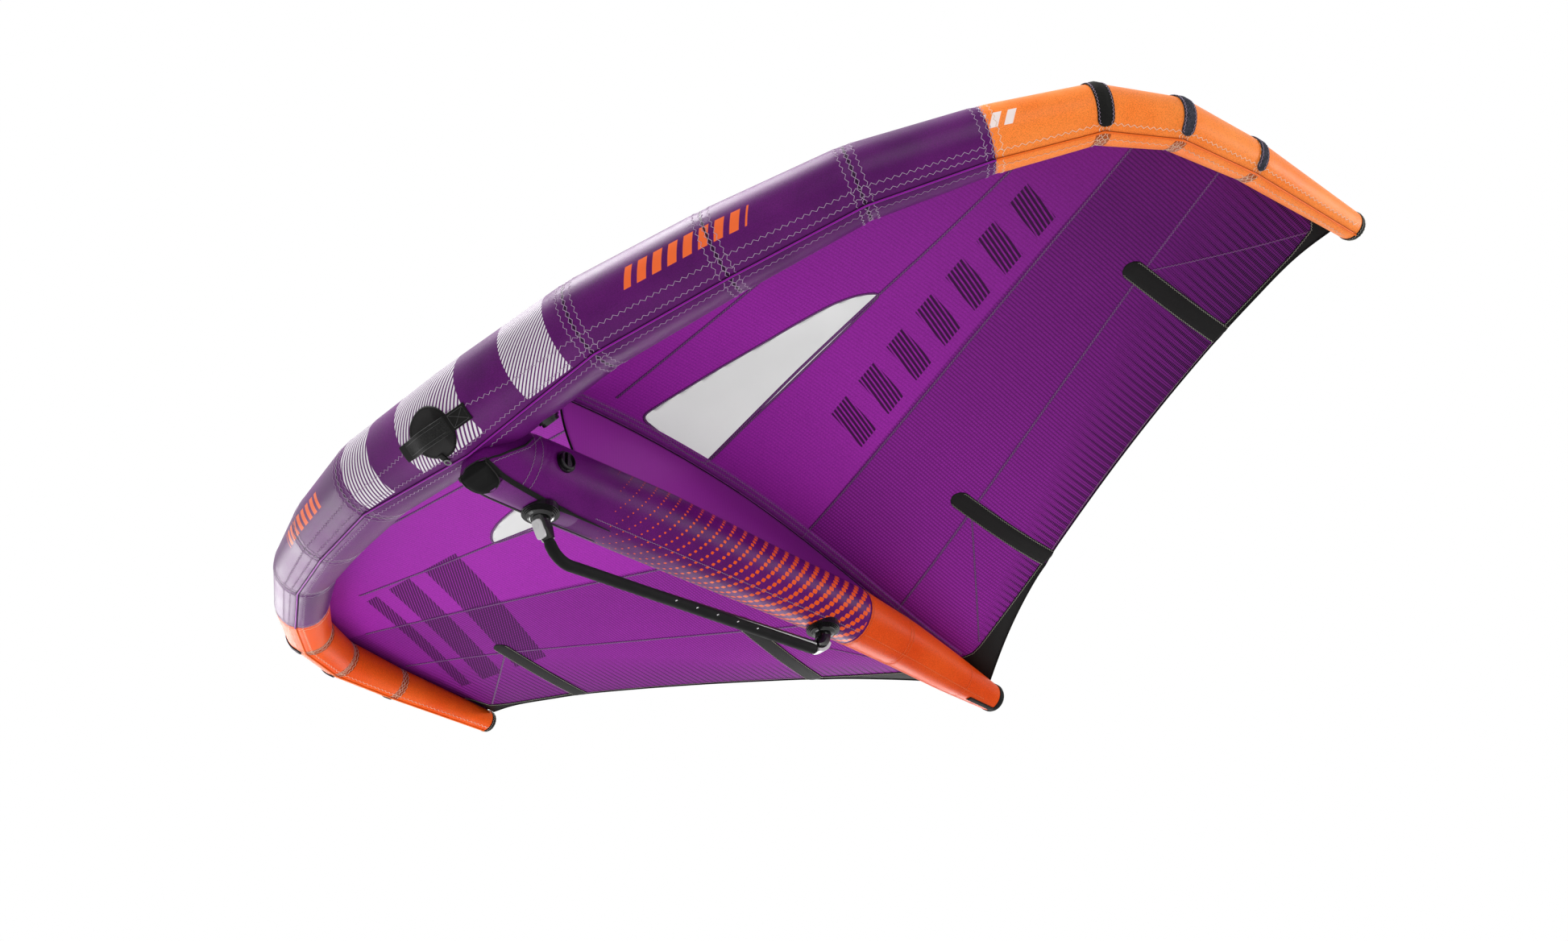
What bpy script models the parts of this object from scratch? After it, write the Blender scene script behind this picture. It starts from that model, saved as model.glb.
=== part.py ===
"""Wingfoil wing: an inflated leading edge and strut, a single-skin canopy and a clip-on boom.

Metres, +Z up. X is the span, -Y the front and +Y the tail. The origin is the middle of the
boom's grip, where the rider's hands carry the wing. Lengths along the wing are measured from
the datum: the bottom of the leading edge on the centre plane, at the strut's own height.
"""
import math

import bmesh
import bpy
from mathutils import Matrix, Vector

# Clearances and cloth
GAP = 0.0003                 # between touching pieces
CASING_WALL = 0.001          # woven casing of the inflated tubes
CANOPY_CLOTH = 0.0010        # canopy and window film
PATCH_CLOTH = 0.0008         # sewn-on reinforcement
OVERRUN = 0.010              # how far a cutter stands past what it cuts

# Leading edge, an inflated tube with a kink at each panel seam
HALF_SPAN = 1.681            # tip axis from the centre plane
LE_SWEEP = 1.423             # tip axis behind the centre axis
LE_RISE = 0.340              # tip axis above the centre axis
LE_HEIGHT = 0.064            # centre axis above the datum
LE_FRONT = 0.003             # centre axis in front of the datum
LE_CENTRE_RADIUS = 0.124
LE_TIP_RADIUS = 0.036
LE_CAP_LENGTH = 0.030        # black cloth cap on each tip
PIPING_RADIUS = 0.0025
LE_SIDES = 24
LE_SPAN_SHARES = (0, 0.242, 0.438, 0.620, 0.771, 0.887, 0.946, 0.974, 1)
LE_SWEEP_SHARES = (0, 0.021, 0.089, 0.178, 0.290, 0.404, 0.531, 0.707, 1)
LE_RISE_SHARES = (0, 0.124, 0.303, 0.529, 0.691, 0.835, 0.894, 0.944, 1)
LE_TAPER_SHARES = (1, 0.886, 0.778, 0.619, 0.489, 0.375, 0.290, 0.182, 0)
TIP = 8                      # last station
COLOUR_STATION = 4           # where the outer panels begin
PIPING_TURN = math.radians(10)       # seam in front of the tube's lowest line
ATTACH_SIDE = 12             # tube edge that carries the canopy, counted from the seam

# Centre strut
STRUT_LENGTH = 1.997
STRUT_START = 0.003          # nose behind the datum
STRUT_DROP = 0.036           # nose axis below the datum
STRUT_ARCH = 0.062           # crest of the axis above the nose
STRUT_RADIUS = 0.098
STRUT_SIDES = 24
STRUT_CAP_LENGTH = 0.036
STRUT_PLACE_SHARES = (0, 0.0015, 0.0055, 0.0135, 0.0436, 0.0986, 0.299, 0.499, 0.6845, 0.800, 0.900, 1)
STRUT_ARCH_SHARES = (0, 0, 0, 0, 0.032, 0.129, 0.516, 0.758, 1, 0.855, 0.565, 0.306)
STRUT_RADIUS_SHARES = (0.51, 0.65, 0.80, 0.87, 0.934, 0.980, 1, 0.908, 0.852, 0.750, 0.612, 0.4265)
STRUT_COLOUR_STATION = 8

# Canopy: trailing edge, camber and the open triangle behind the leading edge
TAIL_REACH = 2.011           # tail corner behind the datum
TAIL_HEIGHT = 0.030
TE_TIP_REACH = 1.418         # outer trailing corner behind the datum
TE_RISE = 0.389              # outer trailing corner above the tail
TE_HOLLOW = 0.018            # scallop of the trailing edge between battens
CAMBER = 0.143               # height of the centre profile above its chord
TAIL_SEAT = 0.0030           # canopy above the strut where it lies on it
CAMBER_PEAK_SHARE = 0.42
CAMBER_FRONT_POWER = 0.62
CAMBER_REAR_POWER = 1.85
TE_SPAN_SHARES = (0, 0.261, 0.440, 0.607, 0.744, 0.833, 0.892, 0.934, 0.973)
TE_REACH_SHARES = (1, 0.548, 0.381, 0.226, 0.098, 0.060, 0.035, 0.017, 0)
TE_RISE_SHARES = (0, 0.298, 0.488, 0.663, 0.810, 0.884, 0.935, 0.969, 1)
CAMBER_SHARES = (1, 0.93, 0.72, 0.45, 0.25, 0.14, 0.09, 0.06, 0.04)
BATTEN_STATIONS = (1, 4)
CANOPY_COLUMNS = 11

# Profile web between strut and canopy
WEB_FOOT = 0.345             # front edge at the strut, behind the datum
WEB_HEAD = 0.285             # front edge at the canopy
WEB_BOW = 0.012              # how far the front edge bows forward
WEB_END = 1.660
WEB_PIPING_RADIUS = 0.003

# Windows: a blunt end beside the web, tapering outwards, as a plan outline
WINDOW_INNER = 0.030
WINDOW_OUTER = 0.762
WINDOW_FRONT = 0.524
WINDOW_REAR = 0.782
WINDOW_SHARES = ((0, 1), (0, 0.585), (0.014, 0.244), (0.045, 0), (0.26, 0.08), (0.533, 0.21), (0.724, 0.283),
                 (0.867, 0.364), (0.943, 0.469), (1, 0.643), (0.751, 0.740), (0.478, 0.845), (0.232, 0.926))

# Batten sleeves and battens
BATTEN_WIDTH = 0.026
BATTEN_THICKNESS = 0.0018
SLEEVE_WALL = 0.0008
SLEEVE_SIDE = 0.004          # sewn margin each side of the batten
BATTEN_RUNS = (("inner", (1, 0.768), (1, 0.995)), ("outer", (3.8, 0.636), (3.95, 0.995)))

# Boom, seen from the side: front post, bend, straight grip, bend, rear post
FRONT_BASE_PLACE = 0.219     # front fitting behind the datum
REAR_BASE_PLACE = 1.243
FRONT_LEAN = math.radians(27.5)
REAR_LEAN = math.radians(18)
GRIP_SLOPE = math.radians(7)
GRIP_DROP = 0.238            # grip axis below the datum at its front end
GRIP_START = 0.345
GRIP_END = 1.185
FRONT_BEND = 0.065
REAR_BEND = 0.050
GRIP_RADIUS = 0.015
GRIP_WALL = 0.0025
TUBE_WALL = 0.0018
SPIGOT_LENGTH = 0.030
FRONT_POST_LENGTH = 0.056    # from the base to the end of the glossy moulding
BOOM_SIDES = 16

# Fittings that clip the boom to the strut
BASE_RADIUS = 0.047
BASE_HEIGHT = 0.019          # below the strut's belly
BASE_SKIRT = 0.018           # wraps up the strut's sides
LEDGE_COUNT = 4
LEDGE_RISE = 0.0028
LEDGE_INSET = 0.0034
NECK_RADIUS = 0.025
SOCKET_RADIUS = 0.0135
SOCKET_DEPTH = 0.015
PLUG_CLEARANCE = 0.0003
BASE_SIDES = 28
POST_HALF_WIDTH = 0.0185
POST_HALF_DEPTH = 0.0195
POST_SQUARENESS = 3.2        # power of the rounded-square section

# Release buttons
BUTTON_WIDTH = 0.028
BUTTON_LENGTH = 0.049
BUTTON_DEPTH = 0.0085
BUTTON_PROUD = 0.0036
BUTTON_TRAVEL = 0.003
BUTTON_START = 0.001         # below the top of the post
REAR_BUTTON_ARC = math.radians(58)
REAR_BUTTON_DEPTH = 0.0095
DIMPLE_RADIUS = 0.0075
DIMPLE_DEPTH = 0.0012
DIMPLE_LINE = 0.0016
SPRING_RADIUS = 0.0032
SPRING_WIRE = 0.00045
SPRING_ROOM = 0.0035         # behind a pressed button, for its shut spring
SPRING_TURNS = 3
SPRING_POINTS = 9

# Inflation valves
VALVE_RADIUS = 0.028
VALVE_RIM = 0.004            # flange above the tube
VALVE_SINK = 0.0060          # flange below the tube's crown
VALVE_DEPTH = 0.020
VALVE_BARREL = 0.017
VALVE_BORE = 0.0125
VALVE_SEAT = 0.0085
VALVE_SEAT_THICKNESS = 0.003
VALVE_CAP_RADIUS = 0.0235
VALVE_CAP_HEIGHT = 0.0085
VALVE_CAP_DISH = 0.0055
VALVE_BAR_WIDTH = 0.0085
VALVE_STEM = 0.003
VALVE_STROKE = 0.004
VALVE_HEAD = 0.0108          # flap under the seat, and the flange that the spring lifts
VALVE_FLANGE = 0.0015
VALVE_STEM_TOP = -VALVE_SINK - GAP * 2
VALVE_SIDES = 24
STRUT_VALVE_PLACE = 0.216
STRUT_VALVE_TURN = math.radians(88)  # from the belly towards +X
LE_VALVE_PLACE = 0.168
LE_VALVE_TURN = math.radians(-50)    # from the lowest line towards the tail

# Trim
TAPE_WIDTH = 0.013
TAPE_CLOTH = 0.0018
TAPE_PLACES = (0.014, 0.070, 0.143, 0.260, 0.345)
TAPE_TURNS = tuple(math.radians(a) for a in (40, 33, 23, 17, 12))
NOSE_PATCH_REAR = 0.088
NOSE_PATCH_CLOTH = 0.0040
PAD_CLOTH = 0.0026
TAIL_TAB_START = 1.890
TAIL_TAB_WIDTH = 0.016
HANDLE_PLACE = -0.032        # centre of the carry handle across the span
HANDLE_TURN = math.radians(43)
HANDLE_LENGTH = 0.232
HANDLE_RISE = 0.033
HANDLE_ARCH = 0.172          # the part of the strap that stands off the tube
HANDLE_SHARES = (-1, -0.82, -0.65, -0.52, -0.40, -0.30, -0.20, -0.10, 0,
                 0.10, 0.20, 0.30, 0.40, 0.52, 0.65, 0.82, 1)
HANDLE_PAD_PART = slice(4, 13)       # the shares that the pad covers
HANDLE_WEB_WIDTH = 0.044
HANDLE_WEB_CLOTH = 0.0024
HANDLE_PAD_WIDTH = 0.060
HANDLE_PAD_HEIGHT = 0.013
HANDLE_PATCH_PLACE = -0.035
HANDLE_PATCH_TURN = math.radians(45)
HANDLE_PATCH_RADIUS = 0.064
HANDLE_PATCH_CLOTH = 0.002
PATCH_STANDOFF = 0.0005      # patches bridge the tube's flat panels
LEASH_PLACE = -0.055
LEASH_TURNS = (math.radians(21), math.radians(9))
LEASH_TAB_WIDTH = 0.018
LEASH_CORD_RADIUS = 0.0022
LEASH_LOOP_RADIUS = 0.008
BOX_POWER = 200              # makes the oval a plain oblong
TIP_STRAP_WIDTHS = (0.040, 0.034, 0.028)
TIP_STRAP_SIDES = (1, 11)    # from and to these edges of the tube, counted from the seam
TIP_STRAP_CLOTH = 0.0022

DOWN = Vector((0, 0, -1))
FRONT = Vector((0, -1, 0))
ACROSS = Vector((1, 0, 0))


# Plain helpers

def mix(a, b, t):
    """The value or point a share t of the way from a to b."""
    return a + (b - a) * t


def at_station(values, s):
    """A table of station values read at a station between two of them."""
    i = min(int(s), len(values) - 2)
    return mix(values[i], values[i + 1], s - i)


def read_table(places, values, place):
    """A table of values read at a place along it, held at both ends."""
    for p, q, a, b in zip(places, places[1:], values, values[1:]):
        if place <= q:
            return mix(a, b, max(0, (place - p) / (q - p)))
    return values[-1]


def make_material(name, colour, roughness, metallic=0.0):
    mat = bpy.data.materials.get(name) or bpy.data.materials.new(name)
    mat.use_nodes = True
    shader = mat.node_tree.nodes["Principled BSDF"]
    shader.inputs["Base Color"].default_value = (*colour, 1)
    shader.inputs["Roughness"].default_value = roughness
    shader.inputs["Metallic"].default_value = metallic
    return mat


def add_object(name, bm, material, smooth_angle=math.radians(35)):
    """A finished mesh as one object on the wing's datum."""
    bmesh.ops.recalc_face_normals(bm, faces=bm.faces)
    mesh = bpy.data.meshes.new(name)
    bm.to_mesh(mesh)
    bm.free()
    mesh.shade_smooth()
    mesh.set_sharp_from_angle(angle=smooth_angle)
    obj = bpy.data.objects.new(name, mesh)
    bpy.context.scene.collection.objects.link(obj)
    if material:
        mesh.materials.append(material)
    obj.parent = bpy.data.objects["datum"]
    return obj


def as_cutter(obj):
    obj.hide_render = True
    obj.display_type = 'WIRE'
    return obj


def cut(obj, cutter, operation='DIFFERENCE'):
    mod = obj.modifiers.new("cut", 'BOOLEAN')
    mod.operation = operation
    mod.solver = 'EXACT'
    mod.object = as_cutter(cutter)


def add_ring(bm, points):
    return [bm.verts.new(p) for p in points]


def skin_rings(bm, ring_a, ring_b):
    """Two triangles to a panel, split so that the wall bulges outwards."""
    count = len(ring_a)
    middle = sum((v.co for v in ring_a + ring_b), Vector()) / (2 * count)
    for j in range(count):
        k = (j + 1) % count
        a, b, c, d = ring_a[j], ring_a[k], ring_b[k], ring_b[j]
        if (mix(a.co, c.co, 0.5) - middle).length > (mix(b.co, d.co, 0.5) - middle).length:
            bm.faces.new((a, b, c))
            bm.faces.new((a, c, d))
        else:
            bm.faces.new((a, b, d))
            bm.faces.new((b, c, d))


def loft(rings, close_ends=True):
    """A closed body through rings of points, each ring with the same count."""
    bm = bmesh.new()
    verts = [add_ring(bm, ring) for ring in rings]
    for a, b in zip(verts, verts[1:]):
        skin_rings(bm, a, b)
    if close_ends:
        bm.faces.new(verts[0])
        bm.faces.new(verts[-1])
    else:
        skin_rings(bm, verts[-1], verts[0])
    return bm


def sleeve(outer, inner):
    """A tube open at both ends: out along the outer rings and back along the inner ones."""
    return loft(list(outer) + list(reversed(inner)), close_ends=False)


def sheet(grid, thickness):
    """A thin closed body whose middle surface is a grid of points."""
    rows, cols = len(grid), len(grid[0])
    bm = bmesh.new()
    layers = []
    for side in (-thickness / 2, thickness / 2):
        layer = []
        for i in range(rows):
            row = []
            for j in range(cols):
                du = grid[min(i + 1, rows - 1)][j] - grid[max(i - 1, 0)][j]
                dv = grid[i][min(j + 1, cols - 1)] - grid[i][max(j - 1, 0)]
                row.append(bm.verts.new(grid[i][j] + du.cross(dv).normalized() * side))
            layer.append(row)
        layers.append(layer)
    for layer in layers:
        for i in range(rows - 1):
            for j in range(cols - 1):
                bm.faces.new((layer[i][j], layer[i + 1][j], layer[i + 1][j + 1]))
                bm.faces.new((layer[i][j], layer[i + 1][j + 1], layer[i][j + 1]))
    rim = [(i, 0) for i in range(rows)] + [(rows - 1, j) for j in range(1, cols)]
    rim += [(i, cols - 1) for i in range(rows - 2, -1, -1)] + [(0, j) for j in range(cols - 2, 0, -1)]
    low, high = layers
    for (i, j), (k, m) in zip(rim, rim[1:] + rim[:1]):
        bm.faces.new((low[i][j], low[k][m], high[k][m], high[i][j]))
    return bm


def turned(profile, sides):
    """A body of revolution about Z through (radius, height) points, closed on the axis."""
    bm = bmesh.new()
    verts = [bm.verts.new((r, 0, h)) for r, h in profile]
    edges = [bm.edges.new(pair) for pair in zip(verts, verts[1:])]
    bmesh.ops.spin(bm, geom=verts + edges, cent=(0, 0, 0), axis=(0, 0, 1),
                   angle=math.tau, steps=sides, use_merge=True)
    bmesh.ops.remove_doubles(bm, verts=bm.verts, dist=GAP / 30)
    return bm


def turned_ring(profile, sides):
    """A ring of revolution about Z: the profile is closed and clear of the axis."""
    rings = []
    for k in range(sides):
        turn = Matrix.Rotation(math.tau * k / sides, 4, 'Z')
        rings.append([turn @ Vector((r, 0, h)) for r, h in profile])
    return loft(rings, close_ends=False)


def stand_on(obj, place, axis, roll=0.0):
    """Set an object's own Z along an axis at a place, with its X as near the span as it can be."""
    z = axis.normalized()
    x = (ACROSS - z * ACROSS.dot(z))
    x = x.normalized() if x.length > GAP else FRONT.cross(z).normalized()
    y = z.cross(x)
    frame = Matrix((x, y, z)).transposed()
    obj.rotation_euler = (frame @ Matrix.Rotation(roll, 3, 'Z')).to_euler()
    obj.location = place
    return obj


def oval(centre, axis_a, axis_b, half_a, half_b, sides, power=2.0):
    """A ring of points round an ellipse, or a rounded square with a higher power."""
    points = []
    for k in range(sides):
        c = round(math.cos(math.tau * k / sides), 9)
        s = round(math.sin(math.tau * k / sides), 9)
        a = math.copysign(abs(c) ** (2 / power), c)
        b = math.copysign(abs(s) ** (2 / power), s)
        points.append(centre + axis_a * (a * half_a) + axis_b * (b * half_b))
    return points


def tube_along(points, radius, sides, flat=1.0, up=None):
    """Rings of points square to a path."""
    rings = []
    for i, p in enumerate(points):
        t = (points[min(i + 1, len(points) - 1)] - points[max(i - 1, 0)]).normalized()
        a = (up or ACROSS)
        a = (a - t * a.dot(t)).normalized()
        b = t.cross(a)
        rings.append(oval(p, a, b, radius, radius * flat, sides))
    return rings


# Leading edge geometry

def le_centre(i):
    """The tube's axis at a whole station of the right wing."""
    return Vector((HALF_SPAN * LE_SPAN_SHARES[i],
                   LE_SWEEP * LE_SWEEP_SHARES[i] - LE_FRONT,
                   LE_RISE * LE_RISE_SHARES[i] + LE_HEIGHT))


def le_radius(s):
    return mix(LE_TIP_RADIUS, LE_CENTRE_RADIUS, at_station(LE_TAPER_SHARES, s))


def mirrored(p):
    return Vector((-p.x, p.y, p.z))


def le_heading(i):
    """Directions of the panels before and after a station."""
    here = le_centre(i)
    after = (le_centre(i + 1) - here).normalized() if i < TIP else None
    before = (here - (le_centre(i - 1) if i else mirrored(le_centre(1)))).normalized()
    return before, after or before


def le_ring_point(i, turn, lift):
    """A point of the mitred ring at a station; turn is from the lowest line to the front."""
    before, after = le_heading(i)
    normal = (before + after).normalized()
    down = (DOWN - normal * DOWN.dot(normal)).normalized()
    front = down.cross(normal)
    reach = (down * math.cos(turn) + front * math.sin(turn)) * (le_radius(i) + lift)
    bend = after - before
    if bend.length > GAP:
        bend.normalize()
        reach += bend * reach.dot(bend) * (1 / before.dot(normal) - 1)
    return le_centre(i) + reach


def le_skin(s, turn, lift=0.0):
    """A point on the tube at a station from -8 at the left tip to 8 at the right one."""
    side = abs(s)
    i = min(int(side), TIP - 1)
    p = mix(le_ring_point(i, turn, lift), le_ring_point(i + 1, turn, lift), side - i)
    return p if s >= 0 else mirrored(p)


def seam_turn(s):
    """The seam runs along the lowest line at the centre and swings forward in the first panel."""
    return PIPING_TURN * min(1, abs(s))


def le_ring(s, lift=0.0):
    step = math.tau / LE_SIDES
    return [le_skin(s, seam_turn(s) + step * j, lift) for j in range(LE_SIDES)]


def le_station(x):
    """The station of the first panel at a distance across the span."""
    return x / le_centre(1).x


def le_solid(first, last, lift):
    return loft([le_ring(s, lift) for s in range(first, last + 1)])


# Strut geometry

STRUT_PLACES = tuple(STRUT_LENGTH * share + STRUT_START for share in STRUT_PLACE_SHARES)
STRUT_HEIGHTS = tuple(STRUT_ARCH * share - STRUT_DROP for share in STRUT_ARCH_SHARES)
STRUT_RADII = tuple(STRUT_RADIUS * share for share in STRUT_RADIUS_SHARES)


def strut_height(y):
    return read_table(STRUT_PLACES, STRUT_HEIGHTS, y)


def strut_radius(y):
    return read_table(STRUT_PLACES, STRUT_RADII, y)


def strut_skin(y, turn, lift=0.0):
    """A point on the strut; turn is from its belly towards +X."""
    r = strut_radius(y) + lift
    return Vector((r * math.sin(turn), y, strut_height(y) - r * math.cos(turn)))


def strut_ring(y, lift=0.0):
    return [strut_skin(y, math.tau * j / STRUT_SIDES, lift) for j in range(STRUT_SIDES)]


def strut_run(first, last):
    """The ends of a run and the strut's own stations between them."""
    return [first] + [y for y in STRUT_PLACES if first < y < last] + [last]


def halved(places):
    """The same run with a place added in the middle of each step."""
    return sorted(places + [mix(a, b, 0.5) for a, b in zip(places, places[1:])])


def belly(y):
    return strut_height(y) - strut_radius(y)


# Canopy geometry

def canopy_front(s):
    turn = seam_turn(s) + math.tau * ATTACH_SIDE / LE_SIDES
    return le_skin(s, turn, GAP + CANOPY_CLOTH / 2)


def canopy_rear(s):
    """The trailing edge, scalloped between the battens."""
    bays = (0,) + BATTEN_STATIONS + (TIP,)
    hollow = 0.0
    for a, b in zip(bays, bays[1:]):
        if a <= s <= b:
            hollow = TE_HOLLOW * math.sin(math.pi * (s - a) / (b - a))
    reach = TAIL_REACH - TE_TIP_REACH
    return Vector((HALF_SPAN * at_station(TE_SPAN_SHARES, s),
                   TE_TIP_REACH + reach * at_station(TE_REACH_SHARES, s) - hollow,
                   TAIL_HEIGHT + TE_RISE * at_station(TE_RISE_SHARES, s)))


def camber(c):
    """The profile's height along the chord, from 0 at both ends to 1 at its crest."""
    if c <= CAMBER_PEAK_SHARE:
        return math.sin(math.pi / 2 * c / CAMBER_PEAK_SHARE) ** CAMBER_FRONT_POWER
    return math.sin(math.pi / 2 * (1 - c) / (1 - CAMBER_PEAK_SHARE)) ** CAMBER_REAR_POWER


def canopy_corner(s, c):
    """A point of the right half at station s and chord share c."""
    p = mix(canopy_front(s), canopy_rear(s), c)
    p.z += CAMBER * at_station(CAMBER_SHARES, s) * camber(c)
    if s == 0 and c > CAMBER_PEAK_SHARE:
        p.z = max(p.z, strut_height(p.y) + strut_radius(p.y) + TAIL_SEAT)
    p.x += GAP / 2
    return p


def canopy_point(s, c, lift=0.0):
    """A point on the canopy's flat facets, which meet at half stations and at even columns."""
    row = min(int(2 * s), 2 * TIP - 1)
    column = min(int(CANOPY_COLUMNS * c), CANOPY_COLUMNS - 1)
    ends = []
    for k in (row, row + 1):
        near = canopy_corner(k / 2, column / CANOPY_COLUMNS)
        far = canopy_corner(k / 2, (column + 1) / CANOPY_COLUMNS)
        ends.append(mix(near, far, CANOPY_COLUMNS * c - column))
    p = mix(ends[0], ends[1], 2 * s - row)
    p.z += lift
    return p


def canopy_grid(stations, chord_spans, columns, lift=0.0):
    """Points of the right half: chord_spans gives each row's first and last chord share."""
    grid = []
    for s, (c0, c1) in zip(stations, chord_spans):
        grid.append([canopy_point(s, mix(c0, c1, j / columns), lift) for j in range(columns + 1)])
    return grid


def on_side(grid, side):
    return grid if side > 0 else [[mirrored(p) for p in row] for row in grid]


# Boom geometry, in the centre plane

def lean_vector(lean):
    """Down along a post that leans by an angle from the vertical, towards the tail."""
    return Vector((0, math.sin(lean), -math.cos(lean)))


GRIP_WAY = Vector((0, math.cos(GRIP_SLOPE), math.sin(GRIP_SLOPE)))
GRIP_FRONT = Vector((0, GRIP_START, -GRIP_DROP))
GRIP_REAR = GRIP_FRONT + GRIP_WAY * ((GRIP_END - GRIP_START) / math.cos(GRIP_SLOPE))
GRIP_MIDDLE = (GRIP_FRONT + GRIP_REAR) / 2
FACET_SAG = STRUT_RADIUS * (1 - math.cos(math.pi / STRUT_SIDES))
FRONT_SADDLE = PAD_CLOTH + GAP * 3 + FACET_SAG
REAR_SADDLE = GAP
FRONT_TOP = Vector((0, FRONT_BASE_PLACE, belly(FRONT_BASE_PLACE) - FRONT_SADDLE - BASE_HEIGHT - GAP))
REAR_TOP = Vector((0, REAR_BASE_PLACE, belly(REAR_BASE_PLACE) - REAR_SADDLE - BASE_HEIGHT - GAP))
FRONT_WAY = lean_vector(FRONT_LEAN)
REAR_WAY = lean_vector(-REAR_LEAN)
CORE_RADIUS = GRIP_RADIUS - GRIP_WALL - GAP
SPIGOT_RADIUS = CORE_RADIUS - TUBE_WALL - GAP


def meeting(p, way):
    """Where a post's line from p meets the grip's line."""
    normal = Vector((0, -GRIP_WAY.z, GRIP_WAY.y))
    return p + way * ((GRIP_FRONT - p).dot(normal) / way.dot(normal))


def bend_points(corner, way_in, way_out, radius, steps):
    """An arc that rounds the corner between two straight runs, and its centre."""
    angle = way_in.angle(way_out)
    run = radius * math.tan(angle / 2)
    start = corner - way_in * run
    inward = (way_out - way_in * way_out.dot(way_in)).normalized()
    centre = start + inward * radius
    points = []
    for k in range(steps + 1):
        a = angle * k / steps
        points.append(centre - inward * (radius * math.cos(a)) + way_in * (radius * math.sin(a)))
    return points, centre


FRONT_CORNER = meeting(FRONT_TOP, FRONT_WAY)
REAR_CORNER = meeting(REAR_TOP, REAR_WAY)
FRONT_ARC, _ = bend_points(FRONT_CORNER, FRONT_WAY, GRIP_WAY, FRONT_BEND, 6)
REAR_ARC, REAR_ARC_CENTRE = bend_points(REAR_CORNER, GRIP_WAY, -REAR_WAY, REAR_BEND, 8)
FRONT_POST_END = FRONT_TOP + FRONT_WAY * FRONT_POST_LENGTH


# Materials

def materials():
    return {
        "le_cloth": make_material("dacron_purple", (0.075, 0.010, 0.095), 0.45),
        "tip_cloth": make_material("dacron_orange", (0.85, 0.16, 0.02), 0.45),
        "bladder": make_material("bladder_film", (0.75, 0.75, 0.72), 0.35),
        "black_cloth": make_material("webbing_black", (0.012, 0.012, 0.013), 0.80),
        "grey_strap": make_material("felt_grey", (0.045, 0.045, 0.055), 0.90),
        "canopy": make_material("ripstop_purple", (0.22, 0.025, 0.26), 0.55),
        "window": make_material("window_film", (0.62, 0.62, 0.62), 0.30),
        "glossy": make_material("moulded_black_gloss", (0.010, 0.010, 0.011), 0.18),
        "matt": make_material("foam_grip_black", (0.012, 0.012, 0.012), 0.75),
        "carbon": make_material("carbon_tube", (0.020, 0.020, 0.022), 0.35),
        "grey": make_material("moulded_grey", (0.45, 0.45, 0.46), 0.45),
        "steel": make_material("spring_steel", (0.55, 0.55, 0.56), 0.30, 1.0),
        "fibreglass": make_material("fibreglass_batten", (0.60, 0.62, 0.55), 0.40),
        "grey_cord": make_material("cord_grey", (0.30, 0.30, 0.30), 0.80),
    }


# Leading edge pieces

def make_leading_edge(mat, le_valve_cut):
    outer = [le_ring(s) for s in range(-COLOUR_STATION, COLOUR_STATION + 1)]
    inner = [le_ring(s, -CASING_WALL) for s in range(-COLOUR_STATION, COLOUR_STATION + 1)]
    casing = add_object("le_casing", sleeve(outer, inner), mat["le_cloth"])
    cut(casing, le_valve_cut)
    bladder = le_solid(-TIP, TIP, -CASING_WALL - GAP)
    bladder = add_object("le_bladder", bladder, mat["bladder"])
    cut(bladder, le_valve_cut)
    for side, word in ((-1, "left"), (1, "right")):
        make_tip_casing(mat, side, word)
        make_tip_cap(mat, side, word)
        make_tip_straps(mat, side, word)
    make_piping(mat)


def make_tip_casing(mat, side, word):
    """The outer panels, which start a gap past the inner ones along their own first panel."""
    shift = (le_centre(COLOUR_STATION + 1) - le_centre(COLOUR_STATION)).normalized() * GAP
    shift = shift if side > 0 else mirrored(shift)
    walls = []
    for lift in (0.0, -CASING_WALL):
        rings = [le_ring(side * s, lift) for s in range(COLOUR_STATION, TIP + 1)]
        rings[0] = [p + shift for p in rings[0]]
        walls.append(rings)
    add_object("le_tip_casing_" + word, sleeve(*walls), mat["tip_cloth"])


def make_tip_cap(mat, side, word):
    """A black cloth cap sewn over the end of the tube."""
    way, _ = le_heading(TIP)
    way = way if side > 0 else mirrored(way)
    rings = []
    for out_share, size_share in ((0, 1), (0.45, 0.96), (0.80, 0.72), (0.98, 0.30)):
        centre = le_centre(TIP) if side > 0 else mirrored(le_centre(TIP))
        ring = le_ring(side * TIP)
        out = way * (GAP + LE_CAP_LENGTH * out_share)
        rings.append([mix(centre, p, size_share) + out for p in ring])
    add_object("le_tip_cap_" + word, loft(rings), mat["black_cloth"])


def make_tip_straps(mat, side, word):
    """Three scuff straps over the kinks, from beside the seam over the front to the top."""
    for k, width in enumerate(TIP_STRAP_WIDTHS):
        station = COLOUR_STATION + 1 + k
        ahead = (le_centre(station) - le_centre(station - 1)).length
        behind = (le_centre(station + 1) - le_centre(station)).length
        grid = []
        first, last = TIP_STRAP_SIDES
        for end in (-1, 0, 1):
            row = []
            for j in range(first, last + 1):
                turn = PIPING_TURN + math.tau * j / LE_SIDES
                taper = 0.6 if j in (first, last) else 1
                reach = width / 2 * taper / (ahead if end < 0 else behind) * end
                row.append(le_skin(side * (station + reach), turn, GAP * 2 + TIP_STRAP_CLOTH / 2))
            grid.append(row)
        name = "tip_strap_" + word + "_" + str(k + 1)
        add_object(name, sheet(grid, TIP_STRAP_CLOTH), mat["grey_strap" if k else "black_cloth"])


def make_piping(mat):
    """A welt along the seam from tip to tip."""
    points = [le_skin(s, seam_turn(s), GAP + PIPING_RADIUS) for s in range(-TIP, TIP + 1)]
    rings = tube_along(points, PIPING_RADIUS, 6, up=DOWN)
    add_object("le_piping", loft(rings), mat["le_cloth"])


# Strut pieces

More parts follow.
